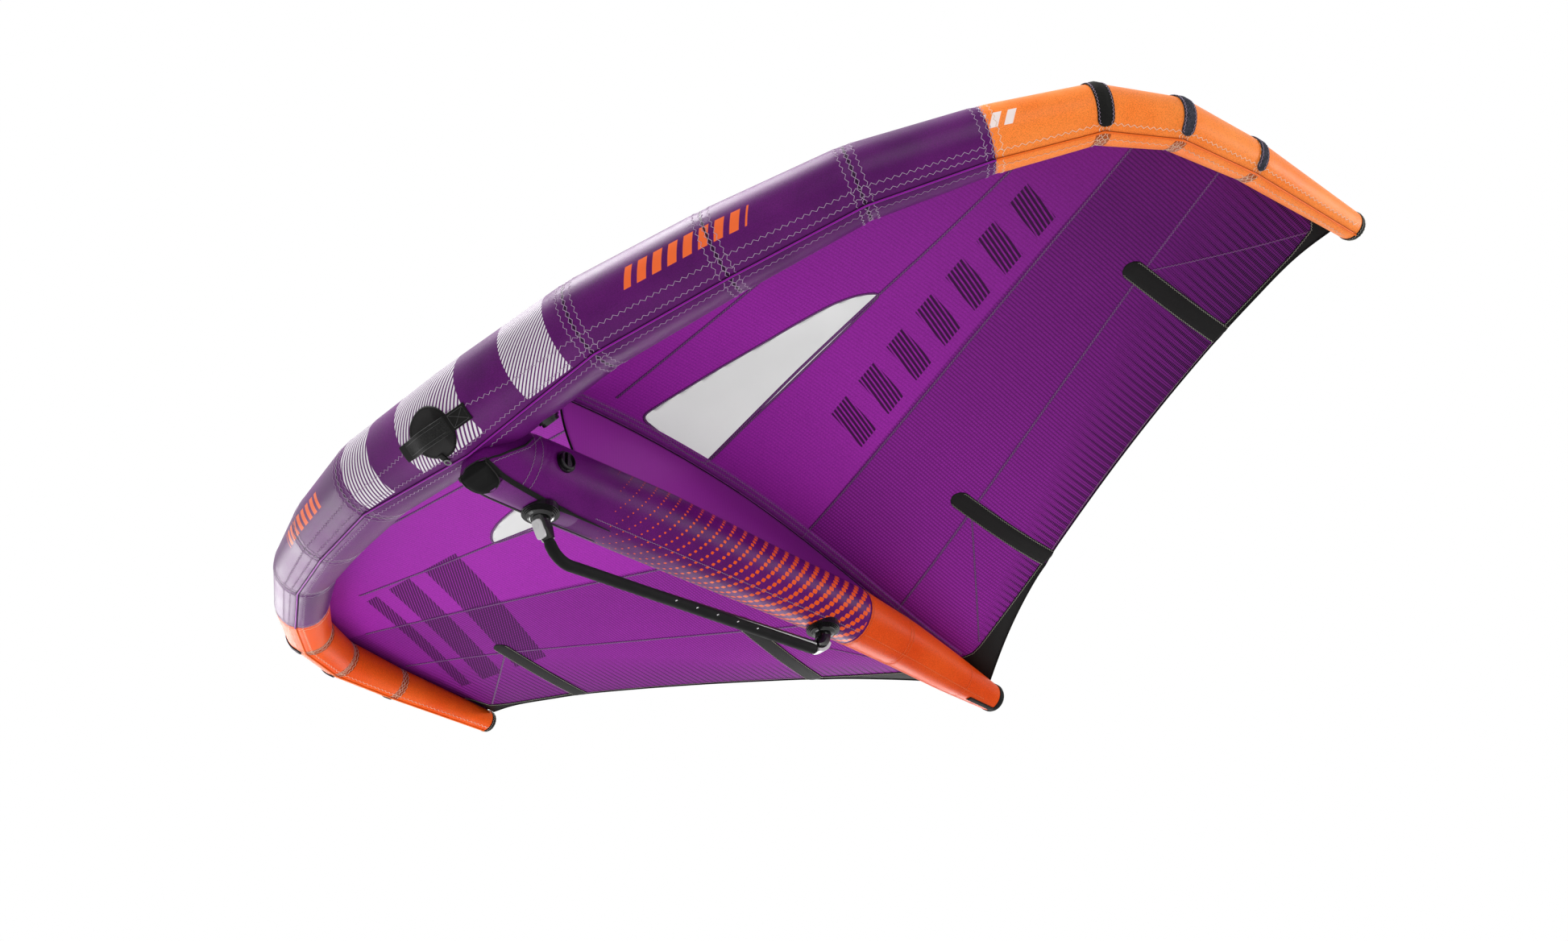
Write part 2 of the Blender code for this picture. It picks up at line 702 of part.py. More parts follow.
def make_strut(mat, le_cutter, strut_valve_cut):
    split = STRUT_COLOUR_STATION
    outer = [strut_ring(y) for y in STRUT_PLACES[:split + 1]]
    inner = [strut_ring(y, -CASING_WALL) for y in STRUT_PLACES[:split + 1]]
    inner[0] = [p + Vector((0, CASING_WALL, 0)) for p in inner[0]]
    inner[1] = [p + Vector((0, CASING_WALL, 0)) for p in inner[1]]
    front = add_object("strut_casing_front", cup(outer, inner), mat["le_cloth"])
    cut(front, le_cutter)
    cut(front, strut_valve_cut)

    places = (STRUT_PLACES[split] + GAP,) + STRUT_PLACES[split + 1:]
    rear = sleeve([strut_ring(y) for y in places], [strut_ring(y, -CASING_WALL) for y in places])
    add_object("strut_casing_rear", rear, mat["tip_cloth"])

    inset = CASING_WALL + GAP
    rings = [strut_ring(y, -inset) for y in STRUT_PLACES]
    for k in (0, 1):
        rings[k] = [p + Vector((0, inset, 0)) for p in rings[k]]
    bladder = add_object("strut_bladder", loft(rings), mat["bladder"])
    cut(bladder, le_cutter)
    cut(bladder, strut_valve_cut)
    make_strut_cap(mat)
    make_strut_trim(mat)


def cup(outer, inner):
    """A tube closed at its first ring and open at its last."""
    bm = bmesh.new()
    out = [add_ring(bm, ring) for ring in outer]
    back = [add_ring(bm, ring) for ring in inner]
    for wall in (out, back):
        for a, b in zip(wall, wall[1:]):
            skin_rings(bm, a, b)
        bm.faces.new(wall[0])
    skin_rings(bm, out[-1], back[-1])
    return bm


def make_strut_cap(mat):
    """A moulded end cap whose tab runs forward under the strut."""
    end = STRUT_PLACES[-1]
    centre = Vector((0, end, strut_height(end)))
    rings = []
    for out_share, size_share in ((0, 1), (0.5, 0.95), (0.85, 0.68), (1, 0.28)):
        out = Vector((0, GAP + STRUT_CAP_LENGTH * out_share, 0))
        rings.append([mix(centre, p, size_share) + out for p in strut_ring(end, GAP)])
    cap = add_object("strut_end_cap", loft(rings), mat["black_cloth"])
    half = TAIL_TAB_WIDTH / 2 / strut_radius(TAIL_TAB_START)
    places = [mix(TAIL_TAB_START, end, k / 2) for k in range(3)]
    lift = GAP + TAPE_CLOTH / 2
    grid = [[strut_skin(y, turn, lift) for turn in (-half, 0, half)] for y in places]
    back = Vector((0, STRUT_CAP_LENGTH / 3, 0))
    grid.append([strut_skin(end, turn, -TAPE_CLOTH) + back for turn in (-half, 0, half)])
    cut(cap, add_object("tail_tab", sheet(grid, TAPE_CLOTH), None), 'UNION')


def strut_strip(places, turns_low, turns_high, columns, thickness):
    """A strip of cloth that lies on the strut between two turns at each place."""
    grid = []
    for y, a, b in zip(places, turns_low, turns_high):
        lift = GAP * 2 + thickness / 2
        grid.append([strut_skin(y, mix(a, b, j / columns), lift) for j in range(columns + 1)])
    return sheet(grid, thickness)


def tape_edge(y, side):
    """The turn of the tape's inner (-1) or outer (+1) edge."""
    return read_table(TAPE_PLACES, TAPE_TURNS, y) + side * TAPE_WIDTH / 2 / strut_radius(y)


def make_strut_trim(mat):
    """The load pad under the nose, the tape bound round it and the patch over its front."""
    lift = GAP * 2 + TAPE_CLOTH / 2
    last = TAPE_PLACES[-1]
    run = halved(strut_run(TAPE_PLACES[0], last))
    grid = [[strut_skin(y, tape_edge(y, k), lift) for k in (-1, 0, 1)] for y in run]
    back = [[Vector((-p.x, p.y, p.z)) for p in row] for row in reversed(grid)]
    point = [strut_skin(last - TAPE_WIDTH / 2 + k * TAPE_WIDTH, 0.0, lift) for k in (0, 1, 2)]
    near = [strut_skin(mix(last, q.y, 0.5), tape_edge(last, k) / 2, lift) for k, q in zip((-1, 0, 1), point)]
    far = [Vector((-p.x, p.y, p.z)) for p in near]
    add_object("pad_binding", sheet(grid + [near, point, far] + back, TAPE_CLOTH), mat["black_cloth"])

    run = halved(strut_run(NOSE_PATCH_REAR + GAP * 2, last - TAPE_WIDTH))
    reach = [tape_edge(y, -1) - GAP * 2 / strut_radius(y) for y in run]
    reach[-1] = reach[-1] / 3
    pad = strut_strip(run, [-r for r in reach], reach, 8, PAD_CLOTH)
    add_object("load_pad", pad, mat["le_cloth"])

    run = strut_run(TAPE_PLACES[0], NOSE_PATCH_REAR)
    reach = [tape_edge(y, -1) - GAP * 2 / strut_radius(y) for y in run]
    patch = strut_strip(run, [-r for r in reach], reach, 10, NOSE_PATCH_CLOTH)
    add_object("nose_patch", patch, mat["black_cloth"])


# Canopy pieces

def window_outline(inset):
    """The window's plan, drawn in by an inset on every side."""
    wide, deep = WINDOW_OUTER - WINDOW_INNER, WINDOW_REAR - WINDOW_FRONT
    points = [Vector((WINDOW_INNER + wide * a, WINDOW_FRONT + deep * b, 0)) for a, b in WINDOW_SHARES]
    drawn = []
    for k, p in enumerate(points):
        before = (p - points[k - 1]).normalized()
        after = (points[(k + 1) % len(points)] - p).normalized()
        inward = (before + after).cross(DOWN).normalized()
        drawn.append(p + inward * (inset / inward.dot(before.cross(DOWN))))
    return drawn


def window_prism(name, inset, side):
    low, high = DOWN * LE_CENTRE_RADIUS, DOWN * -(LE_RISE + LE_CENTRE_RADIUS)
    outline = window_outline(inset)
    if side < 0:
        outline = [mirrored(p) for p in outline]
    return add_object(name, loft([[p + low for p in outline], [p + high for p in outline]]), None)


def make_canopy(mat):
    stations = [k / 2 for k in range(2 * TIP + 1)]
    whole = [(0, 1)] * len(stations)
    for side, word in ((-1, "left"), (1, "right")):
        grid = on_side(canopy_grid(stations, whole, CANOPY_COLUMNS), side)
        half = add_object("canopy_" + word, sheet(grid, CANOPY_CLOTH), mat["canopy"])
        cut(half, window_prism("window_opening_" + word, 0.0, side))
        pane = add_object("window_" + word, sheet(grid, CANOPY_CLOTH), mat["window"])
        cut(pane, window_prism("window_pane_" + word, GAP * 2, side), 'INTERSECT')
        make_canopy_patches(mat, side, word)
        make_battens(mat, side, word)


def make_canopy_patches(mat, side, word):
    """Black reinforcement under the trailing edge at the tip, from the last batten outwards."""
    drop = -(CANOPY_CLOTH / 2 + GAP * 4 + PATCH_CLOTH / 2)
    stations = (4.25, 4.5, 5, 5.5, 6, 6.5, 7, 7.5)
    spans = [(c, 0.998) for c in (0.965, 0.960, 0.955, 0.945, 0.930, 0.915, 0.86, 0.72)]
    grid = on_side(canopy_grid(stations, spans, 3, drop), side)
    add_object("tip_patch_" + word, sheet(grid, PATCH_CLOTH), mat["black_cloth"])


def make_tail_patch(mat):
    """Black reinforcement under the tail corner of both halves."""
    drop = -(CANOPY_CLOTH / 2 + GAP * 2 + PATCH_CLOTH / 2)
    stations, starts = (0.25, 0.5, 0.75, 0.91), (0.925, 0.945, 0.952, 0.958)
    right = canopy_grid(stations, [(c, 0.998) for c in starts], 3, drop)
    centre = canopy_grid((0,), [(0.93, 0.998)], 3, drop)[0]
    middle = [Vector((0, p.y, p.z - GAP)) for p in centre]
    grid = [[mirrored(p) for p in row] for row in reversed(right)] + [middle] + right
    add_object("tail_patch", sheet(grid, PATCH_CLOTH), mat["black_cloth"])


def under_canopy(s, c, half, top, bottom):
    """A flat section under the cloth: half as wide each way, from one drop to another."""
    step = half / (canopy_point(s + 0.1, c) - canopy_point(s, c)).length / 10
    high = [canopy_point(s + k * step, c, -top) for k in (-1, 0, 1)]
    low = [canopy_point(s + k * step, c, -bottom) for k in (1, 0, -1)]
    return high + low


def make_battens(mat, side, word):
    """A sleeve under the canopy at each batten, with the batten inside."""
    top = CANOPY_CLOTH / 2 + GAP * 2
    bore = top + SLEEVE_WALL
    deep = bore + GAP + BATTEN_THICKNESS + GAP
    sizes = (("skin", BATTEN_WIDTH / 2 + SLEEVE_SIDE, top, deep + SLEEVE_WALL),
             ("bore", BATTEN_WIDTH / 2 + GAP, bore, deep),
             ("batten", BATTEN_WIDTH / 2, bore + GAP, deep - GAP))
    for place, (s0, c0), (s1, c1) in BATTEN_RUNS:
        columns = [k / CANOPY_COLUMNS for k in range(CANOPY_COLUMNS)]
        run = [c0] + [c for c in columns if c0 < c < c1] + [c1]
        rings = {}
        for kind, half, high, low in sizes:
            rings[kind] = [under_canopy(mix(s0, s1, (c - c0) / (c1 - c0)), c, half, high, low) for c in run]
            if side < 0:
                rings[kind] = [[mirrored(p) for p in ring] for ring in rings[kind]]
        name = place + "_" + word
        add_object("batten_sleeve_" + name, sleeve(rings["skin"], rings["bore"]), mat["canopy"])
        add_object("batten_" + name, loft(rings["batten"]), mat["fibreglass"])


def make_web(mat):
    """The upright panel between strut and canopy, and the welt on its open front edge."""
    grid = []
    rows = 3
    feet = [(y - WEB_FOOT) / (WEB_END - WEB_FOOT) for y in STRUT_PLACES]
    heads = [canopy_corner(0, k / CANOPY_COLUMNS).y for k in range(CANOPY_COLUMNS + 1)]
    heads = [(y - WEB_HEAD) / (WEB_END - WEB_HEAD) for y in heads]
    for t in sorted([0, 1] + [t for t in feet + heads if 0 < t < 1]):
        foot, head = mix(WEB_FOOT, WEB_END, t), mix(WEB_HEAD, WEB_END, t)
        low = Vector((0, foot, strut_height(foot) + strut_radius(foot) + GAP * 2))
        high = Vector((0, head, centre_height(head) - CANOPY_CLOTH - GAP * 3))
        column = []
        for j in range(rows + 1):
            p = mix(low, high, j / rows)
            p.y -= WEB_BOW * math.sin(math.pi * j / rows) * (1 - t) ** 4
            column.append(p)
        grid.append(column)
    add_object("profile_web", sheet(grid, CANOPY_CLOTH), mat["canopy"])
    front = [p - Vector((0, WEB_PIPING_RADIUS * 1.25, 0)) for p in grid[0]]
    front[0] = front[0] + (front[1] - front[0]).normalized() * WEB_PIPING_RADIUS
    front[-1] = front[-1] + (front[-2] - front[-1]).normalized() * WEB_PIPING_RADIUS * 2
    welt = loft(tube_along(front, WEB_PIPING_RADIUS, 8))
    add_object("web_piping", welt, mat["black_cloth"])


def centre_height(y):
    """The canopy's height on the centre plane."""
    points = [canopy_point(0, j / CANOPY_COLUMNS) for j in range(CANOPY_COLUMNS + 1)]
    return read_table([p.y for p in points], [p.z for p in points], y)


# Boom pieces

def make_base(name, place, saddle_lift, mat):
    """A stepped round foot with a saddle for the strut and a socket for the post."""
    top = BASE_HEIGHT
    profile = [(0, -BASE_SKIRT), (BASE_RADIUS, -BASE_SKIRT)]
    height = top - LEDGE_COUNT * LEDGE_RISE - LEDGE_RISE
    radius = BASE_RADIUS
    for _ in range(LEDGE_COUNT):
        profile += [(radius, height), (radius - LEDGE_INSET, height)]
        radius -= LEDGE_INSET
        height += LEDGE_RISE
    profile += [(NECK_RADIUS + LEDGE_RISE, height), (NECK_RADIUS, top), (SOCKET_RADIUS, top),
                (SOCKET_RADIUS, top - SOCKET_DEPTH), (0, top - SOCKET_DEPTH)]
    base = add_object(name, turned(profile, BASE_SIDES), mat["glossy"])
    stand_on(base, Vector((0, place, belly(place) - saddle_lift)), DOWN)
    saddle = strut_run(place - BASE_RADIUS - OVERRUN, place + BASE_RADIUS + OVERRUN)
    saddle = loft([strut_ring(y, saddle_lift) for y in saddle])
    cut(base, add_object(name + "_saddle", saddle, None))


def post_rings(top, way, side_way):
    """The plug, the flange and the first section of a post, from the socket down."""
    plug = SOCKET_RADIUS - PLUG_CLEARANCE
    up = DOWN * -(SOCKET_DEPTH - GAP)
    rings = [oval(top + up, ACROSS, side_way, plug, plug, BOOM_SIDES + 4),
             oval(top, ACROSS, side_way, plug, plug, BOOM_SIDES + 4),
             oval(top, ACROSS, side_way, POST_HALF_WIDTH, POST_HALF_DEPTH, BOOM_SIDES + 4,
                  POST_SQUARENESS)]
    return rings


def make_front_post(mat):
    sides = BOOM_SIDES + 4
    normal = ACROSS.cross(FRONT_WAY)
    rings = post_rings(FRONT_TOP, FRONT_WAY, FRONT)
    low = FRONT_POST_END
    middle = mix(FRONT_TOP, low, 0.5)
    rings.append(oval(middle, ACROSS, -normal, POST_HALF_WIDTH, POST_HALF_DEPTH, sides, POST_SQUARENESS))
    rings.append(oval(low, ACROSS, -normal, GRIP_RADIUS, GRIP_RADIUS, sides, 2.4))
    rings.append(oval(low, ACROSS, -normal, SPIGOT_RADIUS, SPIGOT_RADIUS, sides))
    rings.append(oval(low + FRONT_WAY * (SPIGOT_LENGTH / 3), ACROSS, -normal,
                      SPIGOT_RADIUS, SPIGOT_RADIUS, sides))
    post = add_object("front_post", loft(aligned(rings)), mat["glossy"])
    cut(post, make_button_pocket(normal))
    return post


def aligned(rings):
    """Rings turned the same way round, each starting nearest to the one before."""
    done = [rings[0]]
    for ring in rings[1:]:
        last = done[-1]
        options = [ring[k:] + ring[:k] for k in range(len(ring))]
        back = list(reversed(ring))
        options += [back[k:] + back[:k] for k in range(len(ring))]
        done.append(min(options, key=lambda r: sum((p - q).length for p, q in zip(r, last))))
    return done


def button_frame():
    """The front button's middle on the post's face, its way out and its length."""
    out = -ACROSS.cross(FRONT_WAY)
    out = out if out.y < 0 else -out
    middle = FRONT_TOP + FRONT_WAY * (BUTTON_START + BUTTON_LENGTH / 2) + out * POST_HALF_DEPTH
    return middle, out


def button_rings(grow, deep, proud):
    """A rounded oblong from its back to its chamfered face, in the button's own frame."""
    half_w, half_l = BUTTON_WIDTH / 2 + grow, BUTTON_LENGTH / 2 + grow
    chamfer = DIMPLE_DEPTH
    x, y = Vector((1, 0, 0)), Vector((0, 1, 0))
    levels = ((-deep, 0), (proud - chamfer, 0), (proud, chamfer))
    return [oval(Vector((0, 0, z)), x, y, half_w - inset, half_l - inset, 24, 5) for z, inset in levels]


def make_button_pocket(normal):
    middle, out = button_frame()
    depth = BUTTON_DEPTH - BUTTON_PROUD + BUTTON_TRAVEL + SPRING_ROOM
    pocket = add_object("front_button_pocket", loft(button_rings(GAP, depth, OVERRUN)), None)
    return stand_on(pocket, middle, out)


def make_front_button(mat):
    middle, out = button_frame()
    depth = BUTTON_DEPTH - BUTTON_PROUD
    button = add_object("front_release_button", loft(button_rings(0.0, depth, BUTTON_PROUD)), mat["grey"])
    stand_on(button, middle, out)
    for k, radius in enumerate((DIMPLE_RADIUS, DIMPLE_RADIUS / 2)):
        groove = [(radius, BUTTON_PROUD - DIMPLE_DEPTH / 2), (radius + DIMPLE_LINE, BUTTON_PROUD - DIMPLE_DEPTH / 2),
                  (radius + DIMPLE_LINE, BUTTON_PROUD + OVERRUN), (radius, BUTTON_PROUD + OVERRUN)]
        ring = add_object("front_button_groove_" + str(k), turned_ring(groove, 20), None)
        up = -FRONT_WAY * (BUTTON_LENGTH / 2 - BUTTON_WIDTH / 2 - DIMPLE_LINE)
        cut(button, stand_on(ring, middle + up, out))


def make_rear_post(mat):
    """A moulded elbow that turns the grip's line up into the rear socket."""
    sides = BOOM_SIDES + 4
    rings = post_rings(REAR_TOP, REAR_WAY, FRONT)
    bend = list(reversed(REAR_ARC))[:-1]
    for k, p in enumerate(bend):
        t = k / (len(bend) - 1)
        a, b = bend[max(k - 1, 0)], bend[min(k + 1, len(bend) - 1)]
        across = ACROSS.cross((b - a).normalized())
        wide = mix(POST_HALF_WIDTH, GRIP_RADIUS, t)
        deep = mix(POST_HALF_DEPTH, GRIP_RADIUS, t)
        rings.append(oval(p, ACROSS, across, wide, deep, sides, mix(POST_SQUARENESS, 2.2, t)))
    way = (bend[-1] - bend[-2]).normalized()
    across = ACROSS.cross(way)
    rings.append(oval(bend[-1], ACROSS, across, SPIGOT_RADIUS, SPIGOT_RADIUS, sides))
    rings.append(oval(bend[-1] + way * (REAR_BEND / 8), ACROSS, across, SPIGOT_RADIUS, SPIGOT_RADIUS, sides))
    post = add_object("rear_post", loft(aligned(rings)), mat["glossy"])
    cut(post, add_object("rear_button_pocket", rear_button_body(GAP, True), None))


def rear_button_body(grow, pocket):
    """A plate curved round the outside of the elbow; its pocket leaves room for the press."""
    face = REAR_BEND + POST_HALF_DEPTH
    high = face + (OVERRUN if pocket else BUTTON_PROUD)
    low = face + BUTTON_PROUD - REAR_BUTTON_DEPTH - (BUTTON_TRAVEL + SPRING_ROOM if pocket else 0)
    spread = REAR_BUTTON_ARC / 2 + ((BUTTON_TRAVEL + GAP) / face if pocket else 0)
    half = BUTTON_WIDTH / 2 + grow
    out = rear_button_out()
    along = ACROSS.cross(out)
    bm = bmesh.new()
    rings = []
    for k in range(7):
        a = mix(-spread, spread, k / 6)
        ray = out * math.cos(a) + along * math.sin(a)
        corners = ((low, -half), (high, -half), (high, half), (low, half))
        rings.append([REAR_ARC_CENTRE + ray * r + ACROSS * x for r, x in corners])
    bm.free()
    return loft(rings)


def rear_button_out():
    """Out through the middle of the elbow's back."""
    return (REAR_ARC[len(REAR_ARC) // 2] - REAR_ARC_CENTRE).normalized()


def make_boom(mat):
    make_front_post(mat)
    make_front_button(mat)
    make_rear_post(mat)
    button = add_object("rear_release_button", rear_button_body(0.0, False), mat["grey"])
    bevel = button.modifiers.new("edge", 'BEVEL')
    bevel.width = DIMPLE_DEPTH
    bevel.segments = 1
    bevel.limit_method = 'ANGLE'
    make_tube(mat)


def make_tube(mat):
    """The tube and the foam grip round it, from the front moulding to the rear one."""
    start = FRONT_POST_END + FRONT_WAY * GAP
    path = [start] + FRONT_ARC + [mix(GRIP_FRONT, GRIP_REAR, k / 3) for k in (1, 2)] + [REAR_ARC[0]]
    way = (REAR_ARC[1] - REAR_ARC[0]).normalized()
    path[-1] = REAR_ARC[0] + way * GAP
    outer = tube_along(path, GRIP_RADIUS, BOOM_SIDES)
    middle = tube_along(path, GRIP_RADIUS - GRIP_WALL, BOOM_SIDES)
    add_object("boom_grip", sleeve(outer, middle), mat["matt"])
    core = tube_along(path, CORE_RADIUS, BOOM_SIDES)
    bore = tube_along(path, CORE_RADIUS - TUBE_WALL, BOOM_SIDES)
    add_object("boom_tube", sleeve(core, bore), mat["carbon"])


# Inflation valves

def valve_cutter(name, place, out):
    bottom = -VALVE_DEPTH - VALVE_SINK - VALVE_SEAT_THICKNESS - VALVE_STROKE - GAP * 3
    profile = [(0, OVERRUN), (VALVE_RADIUS + GAP, OVERRUN), (VALVE_RADIUS + GAP, -VALVE_SINK - GAP),
               (VALVE_BARREL + GAP, -VALVE_SINK - GAP), (VALVE_BARREL + GAP, bottom), (0, bottom)]
    return stand_on(add_object(name, turned(profile, VALVE_SIDES), None), place, out)


def make_valve(prefix, place, out, mat):
    """A welded valve: body, sprung poppet and the quarter-turn cap with its finger bar."""
    seat = -VALVE_SINK - VALVE_DEPTH + VALVE_SEAT_THICKNESS
    floor = -VALVE_SINK - VALVE_DEPTH
    body = [(VALVE_BORE, VALVE_RIM), (VALVE_RADIUS, VALVE_RIM), (VALVE_RADIUS, -VALVE_SINK),
            (VALVE_BARREL, -VALVE_SINK), (VALVE_BARREL, floor), (VALVE_SEAT, floor),
            (VALVE_SEAT, seat), (VALVE_BORE, seat)]
    body = add_object(prefix + "_valve_body", turned_ring(body, VALVE_SIDES), mat["glossy"])
    stand_on(body, place, out)

    poppet = [(0, floor - GAP - VALVE_SEAT_THICKNESS), (VALVE_HEAD, floor - GAP - VALVE_SEAT_THICKNESS),
              (VALVE_HEAD, floor - GAP), (VALVE_STEM, floor - GAP), (VALVE_STEM, VALVE_STEM_TOP - VALVE_FLANGE),
              (VALVE_HEAD, VALVE_STEM_TOP - VALVE_FLANGE), (VALVE_HEAD, VALVE_STEM_TOP), (0, VALVE_STEM_TOP)]
    poppet = add_object(prefix + "_valve_poppet", turned(poppet, VALVE_SIDES // 2), mat["grey"])
    stand_on(poppet, place, out)

    base = VALVE_RIM + GAP
    top = base + VALVE_CAP_HEIGHT
    skirt = -VALVE_SINK + GAP
    plug = VALVE_BORE - GAP
    cap = [(0, skirt), (plug, skirt), (plug, base), (VALVE_CAP_RADIUS, base),
           (VALVE_CAP_RADIUS, top - PIPING_RADIUS), (VALVE_CAP_RADIUS - PIPING_RADIUS, top), (0, top)]
    cap = add_object(prefix + "_valve_cap", turned(cap, VALVE_SIDES), mat["glossy"])
    stand_on(cap, place, out)
    for side in (-1, 1):
        dish = [p for p in dish_outline(side)]
        depth = [top - VALVE_CAP_DISH, top + OVERRUN]
        cutter = loft([[p + Vector((0, 0, h)) for p in dish] for h in depth])
        cutter = add_object(prefix + "_cap_dish_" + ("low" if side < 0 else "high"), cutter, None)
        cut(cap, stand_on(cutter, place, out))


def dish_outline(side):
    """Half of the cap's dished face, beside the finger bar."""
    radius = VALVE_CAP_RADIUS - PIPING_RADIUS * 1.6
    start = math.asin(VALVE_BAR_WIDTH / 2 / radius)
    points = []
    for k in range(10):
        a = mix(start, math.pi - start, k / 9)
        points.append(Vector((radius * math.cos(a), side * radius * math.sin(a), 0)))
    return points


def make_spring(name, place, out, radius, length, mat):
    """A coil spring on its own axis, from its seat outwards."""
    count = SPRING_TURNS * SPRING_POINTS
    points = []
    for k in range(count + 1):
        a = math.tau * k / SPRING_POINTS
        rise = mix(SPRING_WIRE, length - SPRING_WIRE, k / count)
        points.append(Vector((radius * math.cos(a), radius * math.sin(a), rise)))
    rings = tube_along(points, SPRING_WIRE, 4, up=Vector((0, 0, 1)))
    stand_on(add_object(name, loft(rings), mat["steel"]), place, out)


def valve_places():
    strut = strut_skin(STRUT_VALVE_PLACE, STRUT_VALVE_TURN)
    strut_out = (strut - Vector((0, STRUT_VALVE_PLACE, strut_height(STRUT_VALVE_PLACE)))).normalized()
    s = le_station(LE_VALVE_PLACE)
    le = le_skin(s, LE_VALVE_TURN)
    axis = mix(le_centre(0), le_centre(1), s)
    way = (le_centre(1) - le_centre(0)).normalized()
    le_out = le - axis
    le_out = (le_out - way * le_out.dot(way)).normalized()
    return (strut, strut_out), (le, le_out)


def make_valves(mat, places):
    for prefix, (place, out) in zip(("strut", "le"), places):
        make_valve(prefix, place, out, mat)
        seat = -VALVE_SINK - VALVE_DEPTH + VALVE_SEAT_THICKNESS + GAP
        length = VALVE_STEM_TOP - VALVE_FLANGE - GAP - seat
        make_spring(prefix + "_valve_spring", place + out * seat, out, VALVE_HEAD - SPRING_WIRE * 2, length, mat)


def make_button_springs(mat):
    middle, out = button_frame()
    depth = BUTTON_DEPTH - BUTTON_PROUD
    room = BUTTON_TRAVEL + SPRING_ROOM - GAP
    floor = middle - out * (depth + room)
    make_spring("front_button_spring", floor, out, SPRING_RADIUS, room - GAP, mat)
    out = rear_button_out()
    low = REAR_BEND + POST_HALF_DEPTH + BUTTON_PROUD - REAR_BUTTON_DEPTH
    floor = REAR_ARC_CENTRE + out * (low * math.cos(REAR_BUTTON_ARC / 12) - room)
    make_spring("rear_button_spring", floor, out, SPRING_RADIUS, room - GAP * 2, mat)


# Carry handle and leash point on the leading edge

def handle_point(x, width_turn, lift):
    return le_skin(le_station(HANDLE_PLACE + x), HANDLE_TURN + width_turn, lift)


def handle_rise(x):
    """How far the strap stands off the tube: flat at its sewn ends, arched between."""
    t = min(1, abs(x) / (HANDLE_ARCH / 2))
    return HANDLE_RISE * math.cos(math.pi / 2 * t) ** 2


def handle_middle(x):
    """The strap's centre line, and the way out from the tube there."""
    lift = GAP * 2 + HANDLE_WEB_CLOTH / 2 + handle_rise(x)
    middle = handle_point(x, 0.0, lift)
    return middle, (handle_point(x, 0.0, lift + LE_CENTRE_RADIUS) - middle).normalized(), lift


def make_handle(mat):
    make_handle_patch(mat)
    grid = []
    for share in HANDLE_SHARES:
        x = share * HANDLE_LENGTH / 2
        middle, out, lift = handle_middle(x)
        half_turn = HANDLE_WEB_WIDTH / 2 / (LE_CENTRE_RADIUS + lift)
        flat_share = min(1, handle_rise(x) / HANDLE_RISE * 4)
        row = []
        for t in (-1, -0.5, 0, 0.5, 1):
            edge = handle_point(x, t * half_turn, lift)
            row.append(edge - out * (edge - middle).dot(out) * flat_share)
        grid.append(row)
    add_object("handle_webbing", sheet(grid, HANDLE_WEB_CLOTH), mat["black_cloth"])
    make_handle_pad(mat, grid)
    make_leash_point(mat)


def make_handle_pad(mat, strap):
    """A soft sleeve round the raised part of the strap."""
    outer, inner = [], []
    rows = strap[HANDLE_PAD_PART]
    for k, row in enumerate(rows):
        middle = row[len(row) // 2]
        across = (row[-1] - row[0]).normalized()
        ahead = rows[min(k + 1, len(rows) - 1)][2] - rows[max(k - 1, 0)][2]
        up = ahead.cross(across).normalized()
        swell = 1 - 0.3 * abs(2 * k / (len(rows) - 1) - 1) ** 3
        height = HANDLE_PAD_HEIGHT / 2 * swell
        outer.append(oval(middle, across, up, HANDLE_PAD_WIDTH / 2, height, 16, 2.8))
        slot = HANDLE_WEB_WIDTH / 2 + GAP * 2
        inner.append(oval(middle, across, up, slot, HANDLE_WEB_CLOTH / 2 + GAP * 3, 16, BOX_POWER))
    add_object("handle_pad", sleeve(outer, inner), mat["black_cloth"])


def make_handle_patch(mat):
    """A round patch cut from a square of cloth that follows the tube over its middle seam."""
    reach = HANDLE_PATCH_RADIUS * 1.1
    left, right = HANDLE_PATCH_PLACE - reach, HANDLE_PATCH_PLACE + reach
    lift = PATCH_STANDOFF + HANDLE_PATCH_CLOTH / 2
    grid = []
    for x in [mix(left, 0, k / 4) for k in range(5)] + [right]:
        turns = [HANDLE_PATCH_TURN + (k / 5 - 1) * reach / LE_CENTRE_RADIUS for k in range(11)]
        grid.append([le_skin(le_station(x), turn, lift) for turn in turns])
    patch = add_object("handle_patch", sheet(grid, HANDLE_PATCH_CLOTH), mat["black_cloth"])
    s = le_station(HANDLE_PATCH_PLACE)
    low, high = [le_skin(s, HANDLE_PATCH_TURN, k * LE_CENTRE_RADIUS / 2) for k in (-1, 1)]
    profile = [(0, 0), (HANDLE_PATCH_RADIUS, 0), (HANDLE_PATCH_RADIUS, LE_CENTRE_RADIUS), (0, LE_CENTRE_RADIUS)]
    disc = add_object("handle_patch_outline", turned(profile, 24), None)
    cut(patch, stand_on(disc, low, high - low), 'INTERSECT')


